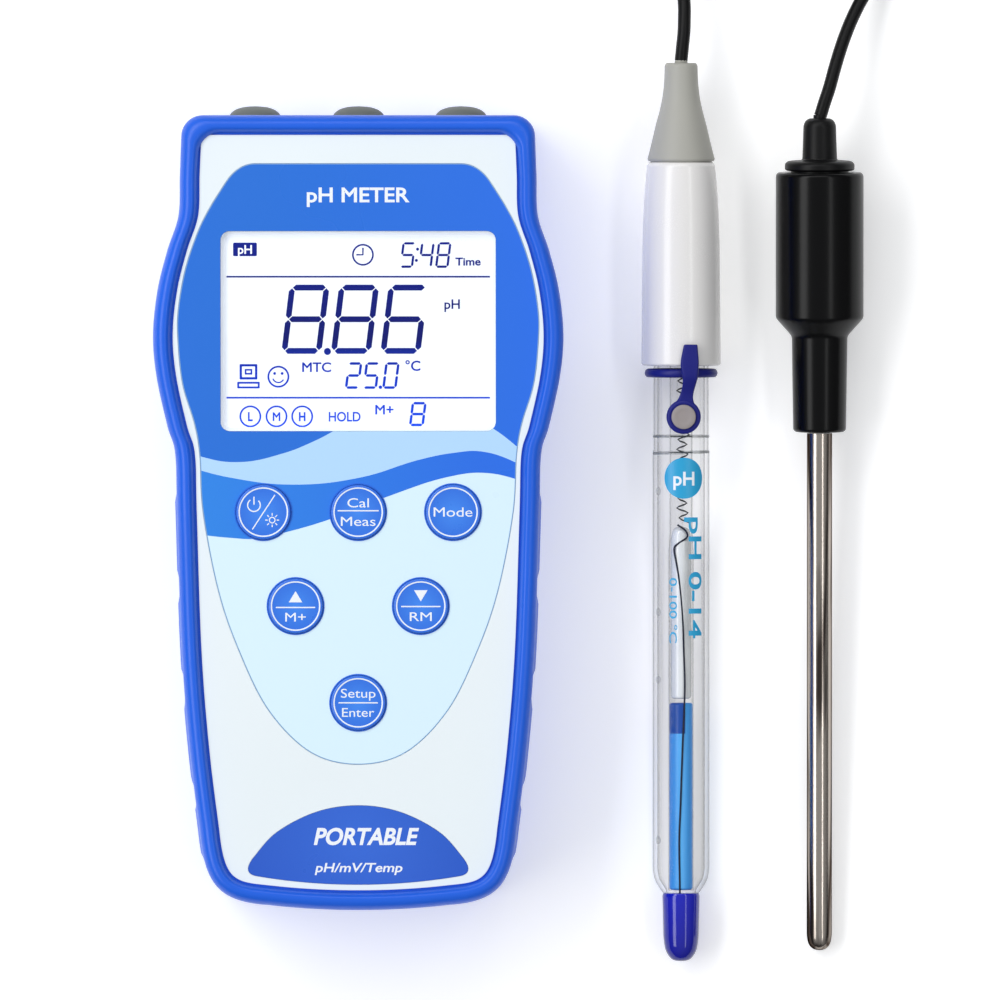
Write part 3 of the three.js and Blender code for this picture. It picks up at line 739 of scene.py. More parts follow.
# ---- Lower label ----------------------------------------------------------------------------------
# A second film in its own bed, blue with white words in italics.
label = plates("lower_label_film", [([label_outline()], BED_Z, FACE_Z + 0.05, 0.05)])
label_finish = Finish("label_film", "#386bd8", 0.3)
across, up = on_face(label_finish)
glow = (1 - from_centre(across, up, 0, -70) / 24).clamped()
label_finish.put("Base Color", label_finish.mix(glow, paint("#2259c8"), paint("#3169d8")))
label_finish.put("Roughness", 0.3 + (label_finish.noise(0.05, 3) - 0.5) * 0.15)
label_finish.bump(label_finish.noise(9, 2), 0.004)
dress(smooth(label), label_finish, "meter", "overlay_film", "lower_label")
label_words = merged("label_words", [
    lettering("PORTABLE", 1.8, -69.3, 3.6, 21.8, INK_LOW, INK_HIGH, lean=12, heavy=0.03),
    lettering("pH/mV/Temp", 0.3, -76.0, 2.0, 18.5, INK_LOW, INK_HIGH, lean=12, heavy=0.015),
], METER_PLACE)
dress(label_words, white_ink, "meter", "overlay_film")

# ---- Display --------------------------------------------------------------------------------------
# A liquid-crystal panel with a white backlight behind it, under a clear acrylic window set level with
# the film. The figures and symbols are the panel's own dark segments.
PANEL_Z, SEGMENT_Z = 29.4, 29.43
DISPLAY_X, DISPLAY_FOOT, DISPLAY_TOP = 29.2, 17.8, 59.8


def coat(finish, *names):
    """Gives its material to CAD pieces that are kept."""
    for name in names:
        for slot in nodes[name].material_slots:
            slot.material = finish.material


panel = Finish("lcd_panel", "#f6f9fd", 0.28, emission_color=paint("#f2f8ff"), emission_strength=0.16)
panel_cells = panel.noise(5, 1)
panel.put("Base Color", panel.mix(panel.noise(0.03, 2), paint("#f8fbff"), paint("#eef3fb")))
panel.put("Roughness", 0.26 + panel_cells * 0.05)
panel.bump(panel_cells, 0.002)
coat(panel, "lcd_panel")
border = plates("lcd_border", [(
    [rectangle(-WINDOW_HALF + 0.05, WINDOW_FOOT + 0.05, WINDOW_HALF - 0.05, WINDOW_TOP - 0.05, 2.05),
     rectangle(-DISPLAY_X + 0.4, DISPLAY_FOOT + 0.4, DISPLAY_X - 0.4, DISPLAY_TOP - 0.4, 1.6)],
    PANEL_Z, PANEL_Z + 0.3, 0.05)])
dress(border, panel, "meter", "lcd_glass")

SEGMENTS = {"0": "abcdef", "2": "abged", "4": "fgbc", "5": "afgcd", "6": "afgedc", "8": "abcdefg"}


def figure(value, x, y, width, height, thick, lean=7):
    """The lit segments of one figure, as pointed bars that lean to the right."""
    w, h, t = width / 2 - thick / 2, height / 2 - thick / 2, thick / 2
    gap = thick * 0.12
    bars = {"a": (-w, h, w, h), "g": (-w, 0, w, 0), "d": (-w, -h, w, -h), "f": (-w, 0, -w, h),
            "b": (w, 0, w, h), "e": (-w, -h, -w, 0), "c": (w, -h, w, 0)}
    lit = []
    for name in SEGMENTS[value]:
        x0, y0, x1, y1 = bars[name]
        if y0 == y1:
            x0, x1 = x0 + gap, x1 - gap
            bar = [(x0, y0), (x0 + t, y0 + t), (x1 - t, y0 + t), (x1, y0), (x1 - t, y0 - t), (x0 + t, y0 - t)]
        else:
            y0, y1 = y0 + gap, y1 - gap
            bar = [(x0, y0), (x0 - t, y0 + t), (x0 - t, y1 - t), (x0, y1), (x0 + t, y1 - t), (x0 + t, y0 + t)]
        lit.append([(x + px + py * math.tan(math.radians(lean)), y + py) for px, py in bar])
    return lit


def ring_lines(x, y, radius, width):
    return [round_outline(x, y, radius + width / 2, 48), round_outline(x, y, radius - width / 2, 48)]


lit = []
for digits, places, y, width, height, thick in (
        ("886", (-11.3, -0.7, 9.9), 41.3, 8.6, 14.8, 1.25), ("548", (10.6, 14.6, 18.2), 55.05, 2.9, 5.5, 0.5),
        ("250", (-1, 2.8, 7), 29.25, 3.1, 5.7, 0.55), ("8", (12.75,), 21, 3.2, 5.2, 0.55)):
    for value, x in zip(digits, places):
        lit.append(figure(value, x, y, width, height, thick))
for x, y, radius, sides in (
        (-6.6, 34.4, 0.75, 24), (12.7, 56.3, 0.32, 16), (12.45, 53.9, 0.32, 16), (4.75, 26.75, 0.38, 16)):
    lit.append([round_outline(x, y, radius, sides)])
lit.append([stroke([(-28.2, 50.4), (28.2, 50.4)], 0.36), stroke([(-28.2, 24.5), (28.2, 24.5)], 0.36)])
lit.append([rectangle(-26.8, 54.8, -21.7, 57.7, 0.3)])
lit.append(ring_lines(1, 55.1, 2.15, 0.36))
lit.append([stroke([(1, 56.6), (1, 55.1), (-0.4, 55.1)], 0.34)])
lit.append(ring_lines(-17.1, 29, 2.15, 0.38))
lit.append([round_outline(-17.9, 29.7, 0.3, 16), round_outline(-16.3, 29.7, 0.3, 16)])
lit.append([stroke(arc(-17.1, 29, 1.25, 200, 345, 10), 0.28)])
lit.append([rectangle(-25.4, 28.4, -21.6, 31.7, 0.2), rectangle(-24.9, 28.9, -22.1, 31.2, 0.1)])
lit.append([rectangle(-24.3, 29.45, -22.7, 30.65, 0.1), rectangle(-23.95, 29.8, -23.05, 30.3, 0.05)])
lit.append([rectangle(-25.9, 26.5, -21.1, 27.9, 0.15), rectangle(-25.5, 26.9, -21.5, 27.5, 0.1)])
for x in (-23.1, -17.5, -12):
    lit.append(ring_lines(x, 20.5, 2.15, 0.36))
segments = [slab(outlines, PANEL_Z, SEGMENT_Z) for outlines in lit]
for words, x, y, cap, width, heavy in (
        ("Time", 23.5, 53.7, 1.7, 5.4, 0.025), ("pH", 20.1, 44.6, 2.1, 3.3, 0.015),
        ("MTC", -8.9, 31.1, 2.1, 6.2, 0.015), ("°C", 11.7, 31.4, 2.2, 3.2, 0.015),
        ("HOLD", -2.9, 20.5, 2.1, 6.8, 0.015), ("M+", 5.6, 22, 2.1, 3.9, 0.015),
        ("L", -23.1, 20.5, 1.9, 1.0, 0.03), ("M", -17.5, 20.5, 1.9, 1.6, 0.02),
        ("H", -12, 20.5, 1.9, 1.4, 0.03)):
    segments.append(lettering(words, x, y, cap, width, PANEL_Z, SEGMENT_Z, heavy=heavy))
lcd_segments = merged("lcd_segments", segments, METER_PLACE)
lcd_ink = Finish("lcd_segment", "#0b1f80", 0.3, specular_ior_level=0.1)
height_on_panel = ((lcd_ink.place().part(1) / MM - DISPLAY_FOOT) / (DISPLAY_TOP - DISPLAY_FOOT)).clamped()
ink_stops = [(0, paint("#0a4ff0")), (0.3, paint("#0b35c0")), (0.45, paint("#060f6a")), (1, paint("#081c8c"))]
lcd_ink.put("Base Color", lcd_ink.node("ValToRGB", {"stops": ink_stops}, {0: height_on_panel}))
lcd_ink.put("Roughness", 0.28 + lcd_ink.noise(6) * 0.06)
dress(lcd_segments, lcd_ink, "meter", "lcd_glass")
reversed_words = lettering("pH", -24.25, 56.3, 1.9, 3, SEGMENT_Z, SEGMENT_Z + 0.03, heavy=0.02)
dress(merged("lcd_reversed_words", [reversed_words], METER_PLACE), panel, "meter", "lcd_glass")

window = plates("display_window_pane", [(
    [rectangle(-WINDOW_HALF + 0.02, WINDOW_FOOT + 0.02, WINDOW_HALF - 0.02, WINDOW_TOP - 0.02, 2.08)],
    29.75, FACE_Z + 0.04, 0.06)])
acrylic = Finish("window_acrylic", "#dfeaf6", 0.06, specular_ior_level=0.14)
# Painted reflection: the window grows paler and less clear where it is seen edge-on.
edge_on = acrylic.node("LayerWeight", {}, {"Blend": 0.35}, 1)
acrylic.put("Alpha", (0.006 + (edge_on ** 2) * 0.6).clamped())
acrylic.put("Roughness", 0.05 + acrylic.noise(0.05, 3) * 0.06)
dress(smooth(window, 50), acrylic, "meter", "window_plastic", "display_window")

# ---- Six keys -------------------------------------------------------------------------------------
# Round moulded key tops on the rubber key mat, level with one another, with a white ring and white
# words printed on each. A flange under the casing's plate keeps each one in.
PRINT_LOW, PRINT_HIGH = 31.97, 32.03
key_finish = Finish("key_top", "#2f76e4", 0.32)
across, up = on_face(key_finish)
nearest = from_centre(across, up, *KEYS["power"])
for x, y in list(KEYS.values())[1:]:
    nearest = nearest.math("MINIMUM", from_centre(across, up, x, y))
tone = key_finish.mix((nearest / KEY_R).clamped(), paint("#3f8af2"), paint("#2b6ee0"))
ring_mask = (nearest > 5.02) * (nearest < 5.3)
key_finish.put("Base Color", key_finish.mix(ring_mask, tone, paint("#eef6ff")))
key_finish.put("Roughness", 0.3 + (key_finish.noise(0.3, 3) - 0.5) * 0.16)
key_finish.bump(key_finish.noise(7, 2), 0.005)

SUN = (1.9, -1.7)


def ray(angle):
    """One short line of the backlight's sun sign."""
    return [stroke([(SUN[0] + reach * math.cos(angle), SUN[1] + reach * math.sin(angle))
                    for reach in (0.95, 1.5)], 0.22)]


PRINTS = {
    "measure": [("Cal", 0, 2.06, 2.06, 4.6), ("Meas", 0, -1.9, 2.06, 7.4)],
    "mode": [("Mode", 0, 0.1, 2.1, 8.3)],
    "up": [("M+", 0, -2.3, 2.0, 4.4)],
    "down": [("RM", 0, -2.2, 2.0, 4.7)],
    "enter": [("Setup", 0, 2.1, 2.0, 7.4), ("Enter", 0, -2.0, 2.0, 6.9)],
    "power": [],
}
DRAWINGS = {
    "measure": [[stroke([(-4.4, 0.3), (4.4, 0.3)], 0.26)]],
    "mode": [],
    "up": [[stroke([(-4.2, -0.3), (4.2, -0.3)], 0.26)], [[(-1.45, 0.8), (1.45, 0.8), (0, 3.2)]]],
    "down": [[stroke([(-4.2, -0.1), (4.2, -0.1)], 0.26)], [[(-1.45, 3.4), (0, 1.0), (1.45, 3.4)]]],
    "enter": [[stroke([(-4.2, 0), (4.2, 0)], 0.26)]],
    "power": [
        [stroke([(-2.35, -3.7), (2.5, 3.7)], 0.24)],
        [stroke(arc(-2, 1.5, 1.35, 125, 415, 28), 0.26)],
        [stroke([(-2, 1.6), (-2, 3.3)], 0.26)],
        ring_lines(*SUN, 0.6, 0.22),
    ] + [ray(math.pi / 4 * k) for k in range(8)],
}
for name, (x, y) in KEYS.items():
    key = turned("key_top_" + name, [
        (0, 27.5), (6.5, 27.5, 0.2), (6.5, 28.5, 0.2), (KEY_R, 28.5, 0.1), (KEY_R, 31.95, 0.3),
        (5.3, 32.1, 0.4), (4.9, 31.98, 0.3), (0, 31.98)], square_on(x, y))
    dress(smooth(key, 50), key_finish, "key_" + name, "key_face", "key_" + name)
    prints = [lettering(*words, PRINT_LOW, PRINT_HIGH) for words in PRINTS[name]]
    prints += [slab(outlines, PRINT_LOW, PRINT_HIGH) for outlines in DRAWINGS[name]]
    print_piece = merged("key_print_" + name, prints, at(METER_X + x, y, 0))
    dress(print_piece, white_ink, "key_" + name, "key_face")

# ---- Inside the casing ----------------------------------------------------------------------------
# The backlight, key mat, circuit board, three cells with their contacts, and the rubber seals.
backlight = Finish("backlight_diffuser", "#f2f5f8", 0.6).worn(0.1, 0.6, 4, 0.01, 0.04)
coat(backlight, "lcd_backlight")
mat = Finish("key_mat_rubber", "#8d949b", 0.7).worn(0.15, 0.7, 5, 0.02, 0.12)
coat(mat, "keypad_mat")
board = Finish("board_lacquer", "#1d5a3a", 0.4).worn(0.2, 0.4, 2, 0.02, 0.3)
coat(board, "main_board")
cell = Finish("cell_jacket", "#3a3f46", 0.35).worn(0.15, 0.35, 3, 0.01, 0.15)
coat(cell, "battery_cell_1", "battery_cell_2", "battery_cell_3")
seal = Finish("seal_rubber", "#26282b", 0.75).worn(0.1, 0.75, 5, 0.02, 0.2)
coat(seal, "case_gasket", "door_seal")
nickel = Finish("nickel_plate", "#c9c7c1", 0.28, metallic=1.0).worn(0.15, 0.28, 4, 0.004, 0.12)
coat(nickel, "bnc_socket", "data_socket", "temp_socket", "battery_contact_top", "battery_contact_foot")

# ---- Back of the casing ---------------------------------------------------------------------------
# The rear half, with a battery door held by two cross-head screws, and four long screws from behind.
DOOR_SCREWS = [(-18, -58), (18, -58)]
CASE_SCREWS = [(-31, 65.8), (31, 65.8), (-27, -70), (27, -70)]
rear_plastic = Finish("rear_abs", "#dfe6ea", 0.5).worn(0.12, 0.5, 3, 0.03, 0.05)
coat(rear_plastic, "rear_case")
door = plates("battery_door_cover", [
    ([rectangle(-25.7, -61.7, 25.7, -8.3, 3)], 1.25, 3.3, 0.35),
] + [([rectangle(-9 + k, -16.2 - k * 1.1, 9 - k, -15.3 - k * 1.1, 0.4)], 0.85, 1.4, 0.15) for k in range(5)])
for x, y in DOOR_SCREWS:
    drilled(door, bore(3, -1, 2.1, square_on(x, y)))
dress(smooth(door, 40), rear_plastic, "meter", "case_plastic", "battery_door")
steel = Finish("screw_steel", "#a9abad", 0.34, metallic=1.0).worn(0.2, 0.34, 5, 0.006, 0.2)


def screw(node, x, y, head_low, tip):
    """A pan-head screw driven from behind, with a cross recess."""
    made = turned(node + "_steel", [
        (0, head_low), (1.9, head_low, 0.6), (2.5, head_low + 0.6, 0.3), (2.5, head_low + 1.5, 0.1),
        (1.2, head_low + 1.5), (1.2, tip - 0.8), (0.4, tip), (0, tip)], square_on(x, y), 64)
    for long, across in ((1.3, 0.28), (0.28, 1.3)):
        bar = slab([rectangle(-long, -across, long, across, 0.05, 2)], head_low - 1, head_low + 0.8)
        drilled(made, merged("recess", [bar], at(METER_X + x, y, 0)))
    dress(smooth(made), steel, "meter", "screw_steel", node)


for kind, places, head_low, tip in (("door", DOOR_SCREWS, 1.35, 4.6), ("case", CASE_SCREWS, 2.45, 24)):
    for number, (x, y) in enumerate(places, 1):
        screw(f"{kind}_screw_{number}", x, y, head_low, tip)

# ---- Socket caps ----------------------------------------------------------------------------------
# Soft grey rubber caps that push on over the three sockets, with a fine grip round the rim.
cap_rubber = Finish("cap_rubber", "#6d736f", 0.6).worn(0.15, 0.6, 4, 0.02, 0.15)


def cap_grip(radius, along, angle):
    return 0.09 * math.cos(36 * angle) if radius > 5.7 and 79 < along < 85.2 else 0


for name, x in SOCKETS.items():
    cap = turned("cap_" + name, [
        (0, 83.5), (5.1, 83.5), (5.1, 78.4), (5.78, 78.4, 0.2), (5.78, 79.2), (5.78, 84.2, 0.5),
        (5.4, 85.4, 0.6), (4.4, 86.3, 0.8), (2.6, 86.95, 1), (0, 87.1)],
        at(METER_X + x, 0, SOCKET_Z), 144, cap_grip)
    dress(smooth(cap, 40), cap_rubber, "socket_cap_" + name, "cap_rubber", "socket_cap_" + name)

# ---- Electrode head -------------------------------------------------------------------------------
# A white moulded head cemented on the glass, with a soft grey sleeve that tapers on to the lead.
# It rests on the head's rim and on the foot of the shaft, so its axis tilts a little.
ELECTRODE_X = 37
HEAD_R, GLASS_R = 8.55, 6.1
RIM_TO_FOOT = 109.6
ELECTRODE_TILT = math.atan((HEAD_R - GLASS_R) / RIM_TO_FOOT)
electrode_place = (at(ELECTRODE_X, 31.5, HEAD_R * math.cos(ELECTRODE_TILT))
                   @ Matrix.Rotation(ELECTRODE_TILT, 4, "X"))
eye_place = electrode_place @ at(0.5, -10.9, 0) @ Matrix.Rotation(math.radians(90), 4, "X")

head = turned("electrode_head_shell", [
    (0, 12), (6.4, 12), (6.4, 0), (8.2, 0, 0.3), (HEAD_R, 0.4, 0.2), (8.47, 8), (8.4, 16), (8.33, 24, 2),
    (8.2, 30, 2), (7.95, 35.5, 2), (7.6, 40, 1), (7.3, 42.9, 0.3), (6.9, 43.7, 0.3),
    (0, 43.7)], electrode_place, 128)
head_finish = Finish("head_plastic", "#eceae8", 0.25, coat_weight=0.2)
head_finish.worn(0.12, 0.26, 5, 0.005, 0.04)
dress(smooth(head, 45), head_finish, "electrode", "head_plastic", "electrode_head")

relief = turned("electrode_relief_sleeve", [
    (0, 43.7), (6.6, 43.7), (6.6, 43.9), (7, 43.9, 0.1), (7.25, 44.3, 0.2), (6.76, 46.2), (6.1, 48.9, 1),
    (5.47, 51.6, 1), (4.7, 54.4, 1), (4.1, 57, 1.2), (3.75, 59.6, 1.2), (3.6, 62), (3.55, 64.4, 0.3),
    (3.2, 65, 0.3), (1.6, 65, 0.1), (1.37, 64.8), (1.37, 65.55), (0, 65.55)], electrode_place, 96)
relief_finish = Finish("relief_rubber", "#adaca4", 0.5).worn(0.15, 0.52, 4, 0.015, 0.08)
dress(smooth(relief, 45), relief_finish, "electrode", "relief_rubber", "electrode_relief")

# ---- Electrode glass ------------------------------------------------------------------------------
# A clear drawn-glass shaft, rounded in at the foot, with the filling hole near its top and two seams
# where its lengths were fused. Inside it runs the thinner reference tube.


def glass(name, color, centre, edge, power):
    """Clear glass, which looks darker where it is seen edge-on, with painted dark reflection streaks along
    it.
    """
    made = Finish(name, color, 0.05, specular_ior_level=0.7)
    side = made.node("LayerWeight", {}, {"Blend": 0.5}, 1)
    # Painted reflection: faint dark streaks along the glass add to its opacity.
    lengthwise_streaks = ((made.noise(0.5, 2, (1, 0.008, 1)) - 0.54) * 8).clamped()
    made.put("Alpha", (centre + lengthwise_streaks * 0.07 + (side ** power) * edge).clamped())
    made.put("Roughness", 0.03 + made.noise(0.08, 3) * 0.05)
    return made.bump(made.noise(0.15, 2, (1, 0.15, 1)), 0.02)


def clear(made):
    """Clear glass throws no shadow of its own."""
    made.visible_shadow = False
    return made


shaft_glass = glass("shaft_glass", "#262b2d", 0.006, 0.95, 4)
tube_glass = glass("reference_tube_glass", "#2e3335", 0.008, 0.85, 3.5)

shaft = turned("glass_shaft", [
    (3.15, -113.3), (3.95, -113.3, 0.1), (4.6, -112.4, 0.5), (5.7, -110.6, 1.2),
    (GLASS_R, -108.6, 1.2), (GLASS_R, -19.2), (GLASS_R, -18.4), (5.92, -18.2, 0.1), (5.92, 11),
    (5.1, 11), (5.1, -108.6, 1),
    (4.7, -110.4, 0.6), (3.3, -112.6, 0.2), (3.15, -113.3)], electrode_place, 128)
drilled(shaft, bore(2, 3, 8, eye_place))
dress(clear(smooth(shaft, 40)), shaft_glass, "electrode", "electrode_glass", "glass_tube")

reference_tube = turned("reference_tube", [
    (0, -112.8), (2.7, -112.8, 0.1), (2.7, -40), (2.45, -36), (2.45, 9), (0, 9)], electrode_place, 64)
dress(clear(smooth(reference_tube, 40)), tube_glass, "electrode", "electrode_glass", "inner_tube")

cell_tube = turned("reference_cell_tube", [
    (0, -71.6, 0.3), (2.05, -71.6, 0.5), (2.2, -70.5), (2.2, -37, 0.8), (1.7, -35, 0.8), (0, -34.5)],
    electrode_place, 64)
cell_glass = Finish("reference_cell_glass", "#e9edef", 0.12, specular_ior_level=0.6)
# Painted shade: this opaque tube's colour darkens towards its edges, as clear glass looks seen edge-on.
cell_edge_shade = cell_glass.node("LayerWeight", {}, {"Blend": 0.5}, 1)
cell_glass.put("Base Color", cell_glass.mix((cell_edge_shade ** 2.5).clamped(), paint("#edf1f3"), paint("#59646a")))
cell_glass.put("Roughness", 0.1 + cell_glass.noise(0.1, 3) * 0.08)
cell_glass.bump(cell_glass.noise(0.3, 2, (1, 0.2, 1)), 0.02)
dress(smooth(cell_tube, 60), cell_glass, "electrode", "electrode_glass")

seam_glass = glass("seam_glass", "#5c686e", 0.15, 0.6, 2)
for number, (along, lean) in enumerate(((-15.4, 0), (-18.9, 1.5)), 1):
    seam = turned(f"glass_seam_{number}", [
        (5.95, 0), (6.1, -0.1, 0.05), (6.14, 0.12, 0.1), (6.1, 0.35, 0.05), (5.95, 0.45), (5.95, 0)],
        electrode_place @ at(0, along, 0) @ Matrix.Rotation(math.radians(lean), 4, "Z"), 128)
    dress(clear(smooth(seam, 60)), seam_glass, "electrode", "electrode_glass")

nib_glass = glass("nib_glass", "#8d979b", 0.08, 0.4, 2)
nibs = [turned("nib", [(0, -0.9), (0.35, -0.7, 0.2), (0.55, 0, 0.4), (0.35, 0.7, 0.2), (0, 0.9)],
               electrode_place @ at(-4.9, along, 0.8), 20).data for along in (-27, -53, -67.5, -102)]
dress(clear(smooth(merged("glass_nibs", nibs, IN_METRES), 60)), nib_glass, "electrode", "electrode_glass")

# ---- Inside the glass -----------------------------------------------------------------------------
# Blue reference gel at the foot, darker over the left of its upper end, a dark lead down to the bulb,
# and a fine silver wire bent to and fro near the top.
gel = turned("reference_gel_fill", [
    (0, -112.7), (2.2, -112.7, 0.3), (2.5, -112.3, 0.2), (2.5, -72.8, 0.3), (2.2, -72.5, 0.2), (0, -72.5)],
    electrode_place, 64)
gel_finish = Finish("reference_gel", "#46a6f5", 0.35, specular_ior_level=0.3)
gel_y = gel_finish.place().part(1) / MM
gel_x = gel_finish.place().part(0) / MM - ELECTRODE_X
# Darker over the left part of the gel's upper end.
upper_left_darker = (gel_y > -47.6) * (gel_x < 0.9)
# Painted shade and highlight: the gel is lighter along its middle and darker towards both sides.
gel_shading_stops = [(0, paint("#2f8fe8")), (0.5, paint("#5fb8fb")), (1, paint("#3a9af0"))]
gel_painted_shading = gel_finish.node("ValToRGB", {"stops": gel_shading_stops}, {0: ((gel_x + 2.3) / 4.6).clamped()})
gel_finish.put("Base Color", gel_finish.mix(upper_left_darker, gel_painted_shading, paint("#1d50a8")))
gel_finish.put("Roughness", 0.3 + gel_finish.noise(0.4, 2) * 0.1)
gel_finish.bump(gel_finish.noise(0.6, 2), 0.01)
dress(smooth(gel, 60), gel_finish, "electrode", "reference_gel", "reference_gel")


def on_electrode(made):
    """Moves a piece from the electrode's own axes to where the electrode lies."""
    made.data.transform(electrode_place)
    return made


def wire(name, points, radius, sides=10):
    """A bent wire through points in the electrode's own millimetres."""
    line = [Vector(p) for p in points]
    rows = []
    for i, p in enumerate(line):
        along = (line[min(i + 1, len(line) - 1)] - line[max(i - 1, 0)]).normalized()
        right = along.cross(Vector((0, 0, 1))).normalized()
        upward = right.cross(along)
        rows.append([p + right * px + upward * pz for px, pz in arc(0, 0, radius, 0, 360, sides)])
    return on_electrode(skin(name, rows, capped=True))


def through(knots, steps=8):
    return spline(knots, steps) + [knots[-1]]


dark_lead = wire("inner_lead", through([
    (-0.2, -124.6, 2.4), (-0.2, -118, 2.5), (-0.3, -110, 2.55), (-0.4, -102, 2.6), (-0.1, -94, 2.6),
    (0.1, -88, 2.6), (0.4, -80, 2.6), (0.7, -73, 2.6), (0.8, -68, 2.4), (0.6, -62, 2.2), (0.3, -54, 2.1),
    (-0.3, -47, 2.1), (-0.9, -43, 2.1), (-1.5, -39.4, 2.1), (-0.6, -38.2, 2.1), (1.3, -36.8, 2.2),
    (0.9, -35.4, 2.2), (-0.8, -34.2, 2.2)]),
    0.2)
lead_insulation = Finish("inner_lead_insulation", "#151a35", 0.4).worn(0.1, 0.4, 5, 0.01, 0.3)
dress(smooth(dark_lead), lead_insulation, "electrode", "wire_insulation", "inner_wire")

zigzag = [(0.4 + (1.35 - 0.25 * (i % 3)) * (-1) ** i, -2.2 - 1.05 * i, 2.95 + 0.25 * (i % 2))
          for i in range(31)]
silver_wire = wire("silver_zigzag", through(zigzag, 3), 0.17, 8)
silver = Finish("silver_wire", "#3c3f42", 0.3, metallic=0.6).worn(0.2, 0.35, 6, 0.004, 0.2)
dress(smooth(silver_wire), silver, "electrode", "silver", "silver_wire")

# ---- Sensing bulb ---------------------------------------------------------------------------------
# A thin-walled bulb of deep blue pH glass blown on the end of the shaft.
bulb = turned("sensing_bulb_glass", [
    (0, -128.1, 1), (1.9, -127.9, 1.4), (3.3, -126.1, 1.4), (3.8, -123.4, 2), (3.9, -119),
    (4.03, -113.9, 0.3), (3.85, -113.35, 0.2), (0, -113.35)], electrode_place, 96)
bulb_finish = Finish("bulb_glass", "#1015a0", 0.08, specular_ior_level=0.4, coat_weight=0.25)
# Painted shade: the bulb's colour darkens to navy where it is seen edge-on.
bulb_edge_shade = bulb_finish.node("LayerWeight", {}, {"Blend": 0.5}, 1)
bulb_rise = ((bulb_finish.place().part(1) / MM + 97) / 15).clamped()
bulb_tone = bulb_finish.mix(bulb_rise, paint("#0b1092"), paint("#141cb8"))
bulb_finish.put("Base Color", bulb_finish.mix((bulb_edge_shade ** 2).clamped(), bulb_tone, paint("#060640")))
bulb_finish.put("Roughness", 0.05 + bulb_finish.noise(0.2, 2) * 0.06)
bulb_finish.bump(bulb_finish.noise(0.2, 2), 0.03)
dress(smooth(bulb, 60), bulb_finish, "electrode", "bulb_glass", "sensing_bulb")

# ---- Shaft printing -------------------------------------------------------------------------------
# Pale blue enamel fired on the glass: a round spot with the quantity it measures, and its range.


def wrapped(name, meshes):
    """Flat prints in millimetres laid round the shaft, sliced finely enough to bend."""
    flat = merged(name, meshes, IN_METRES)
    work = bmesh.new()
    work.from_mesh(flat.data)
    for step in range(-12, 13):
        bmesh.ops.bisect_plane(work, geom=work.verts[:] + work.edges[:] + work.faces[:],
                               plane_co=(step * 0.5, 0, 0), plane_no=(1, 0, 0))
    for v in work.verts:
        turn, radius = v.co.x / GLASS_R, GLASS_R + v.co.z
        v.co = electrode_place @ (Vector((radius * math.sin(turn), v.co.y, radius * math.cos(turn))) * MM)
    work.to_mesh(flat.data)
    work.free()
    return flat


enamel = Finish("blue_enamel", "#22a9dd", 0.35)
enamel.worn(0.2, 0.35, 4, 0.004, 0.15)
SPOT = (0.6, -24.1)
badge = wrapped("shaft_spot", [slab([round_outline(*SPOT, 4.4, 72)], 0.02, 0.05)])
dress(badge, enamel, "electrode", "electrode_glass")
spot_words = wrapped("shaft_spot_words", [lettering("pH", *SPOT, 3, 4.6, 0.05, 0.08, heavy=0.02)])
dress(spot_words, white_ink, "electrode", "electrode_glass")
shaft_words = wrapped("shaft_words", [
    lettering("pH 0-14", 3.3, -45.5, 3.2, 26, 0.02, 0.05, heavy=0.02, turn=-90),
    lettering("0-100 °C", -1.7, -52.5, 1.7, 14, 0.02, 0.05, heavy=0.01, turn=-90)])
dress(shaft_words, enamel, "electrode", "electrode_glass")

# ---- Filling strap --------------------------------------------------------------------------------
# A blue silicone ring round the neck with a strap moulded on. Its eye fits over the filling hole and
# holds a grey stopper.
strap_blue = Finish("strap_silicone", "#141a7c", 0.42, specular_ior_level=0.3)
strap_blue.worn(0.16, 0.42, 4, 0.015, 0.15)
strap_parts = [turned("band", [
    (6.45, -2.5, 0.3), (7.5, -2.55, 0.5), (7.95, -1.6, 0.8), (7.5, -0.65, 0.5), (6.45, -0.7, 0.3),
    (6.45, -2.5)],
    electrode_place, 96).data]
STRAP = [  # along, centre, half width, top, thickness
    (4.6, 2.0, 1.1, 9.5, 0.9), (4.5, 2.0, 1.45, 9.7, 1.0), (3, 1.9, 1.7, 9.72, 1.0),
    (1, 1.8, 1.95, 9.74, 1.0), (-0.6, 1.8, 1.9, 9.7, 1.3), (-2.2, 1.9, 1.7, 9.55, 1.5),
    (-3.4, 1.8, 1.5, 9.1, 1.3), (-4.6, 1.55, 1.4, 8.5, 1.1), (-5.8, 1.25, 1.4, 8.0, 1.0),
    (-7, 0.95, 1.6, 7.7, 1.0), (-8, 0.7, 2.1, 7.6, 1.0),
]
strap_rows = []
for along, x, half, top, thick in through(STRAP, 6):
    loop = rounded_loop(half, thick / 2, thick * 0.42, 4)
    strap_rows.append([(x + px, along, top - thick / 2 + pz) for px, pz in loop])
strap_parts.append(on_electrode(skin("tongue", strap_rows, capped=True)).data)
strap_parts.append(turned("eye", [
    (2.05, 6.5), (3.3, 6.5, 0.2), (3.7, 6.9, 0.3), (3.7, 7.6, 0.3), (3.3, 7.9, 0.3), (2.8, 7.9, 0.2),
    (2.05, 7.7), (2.05, 6.5)], eye_place, 96).data)
strap = merged("filling_strap_skin", strap_parts, IN_METRES)
smooth(strap, 50).data.materials.append(strap_blue.material)
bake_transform(strap)
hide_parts("strap_ring", "filling_strap")

stopper = turned("filling_stopper", [
    (0, 4.9), (1.4, 4.9, 0.2), (1.65, 6), (1.7, 8.15, 0.1), (2.65, 8.15, 0.15), (2.6, 8.6, 0.2),
    (1.9, 8.75, 0.4), (1.2, 8.6, 0.4), (0, 8.6)], eye_place, 64)
stopper_grey = Finish("stopper_rubber", "#9b9391", 0.5).worn(0.15, 0.5, 4, 0.02, 0.12)
dress(smooth(stopper, 45), stopper_grey, "filling_strap", "relief_rubber", "filling_plug")

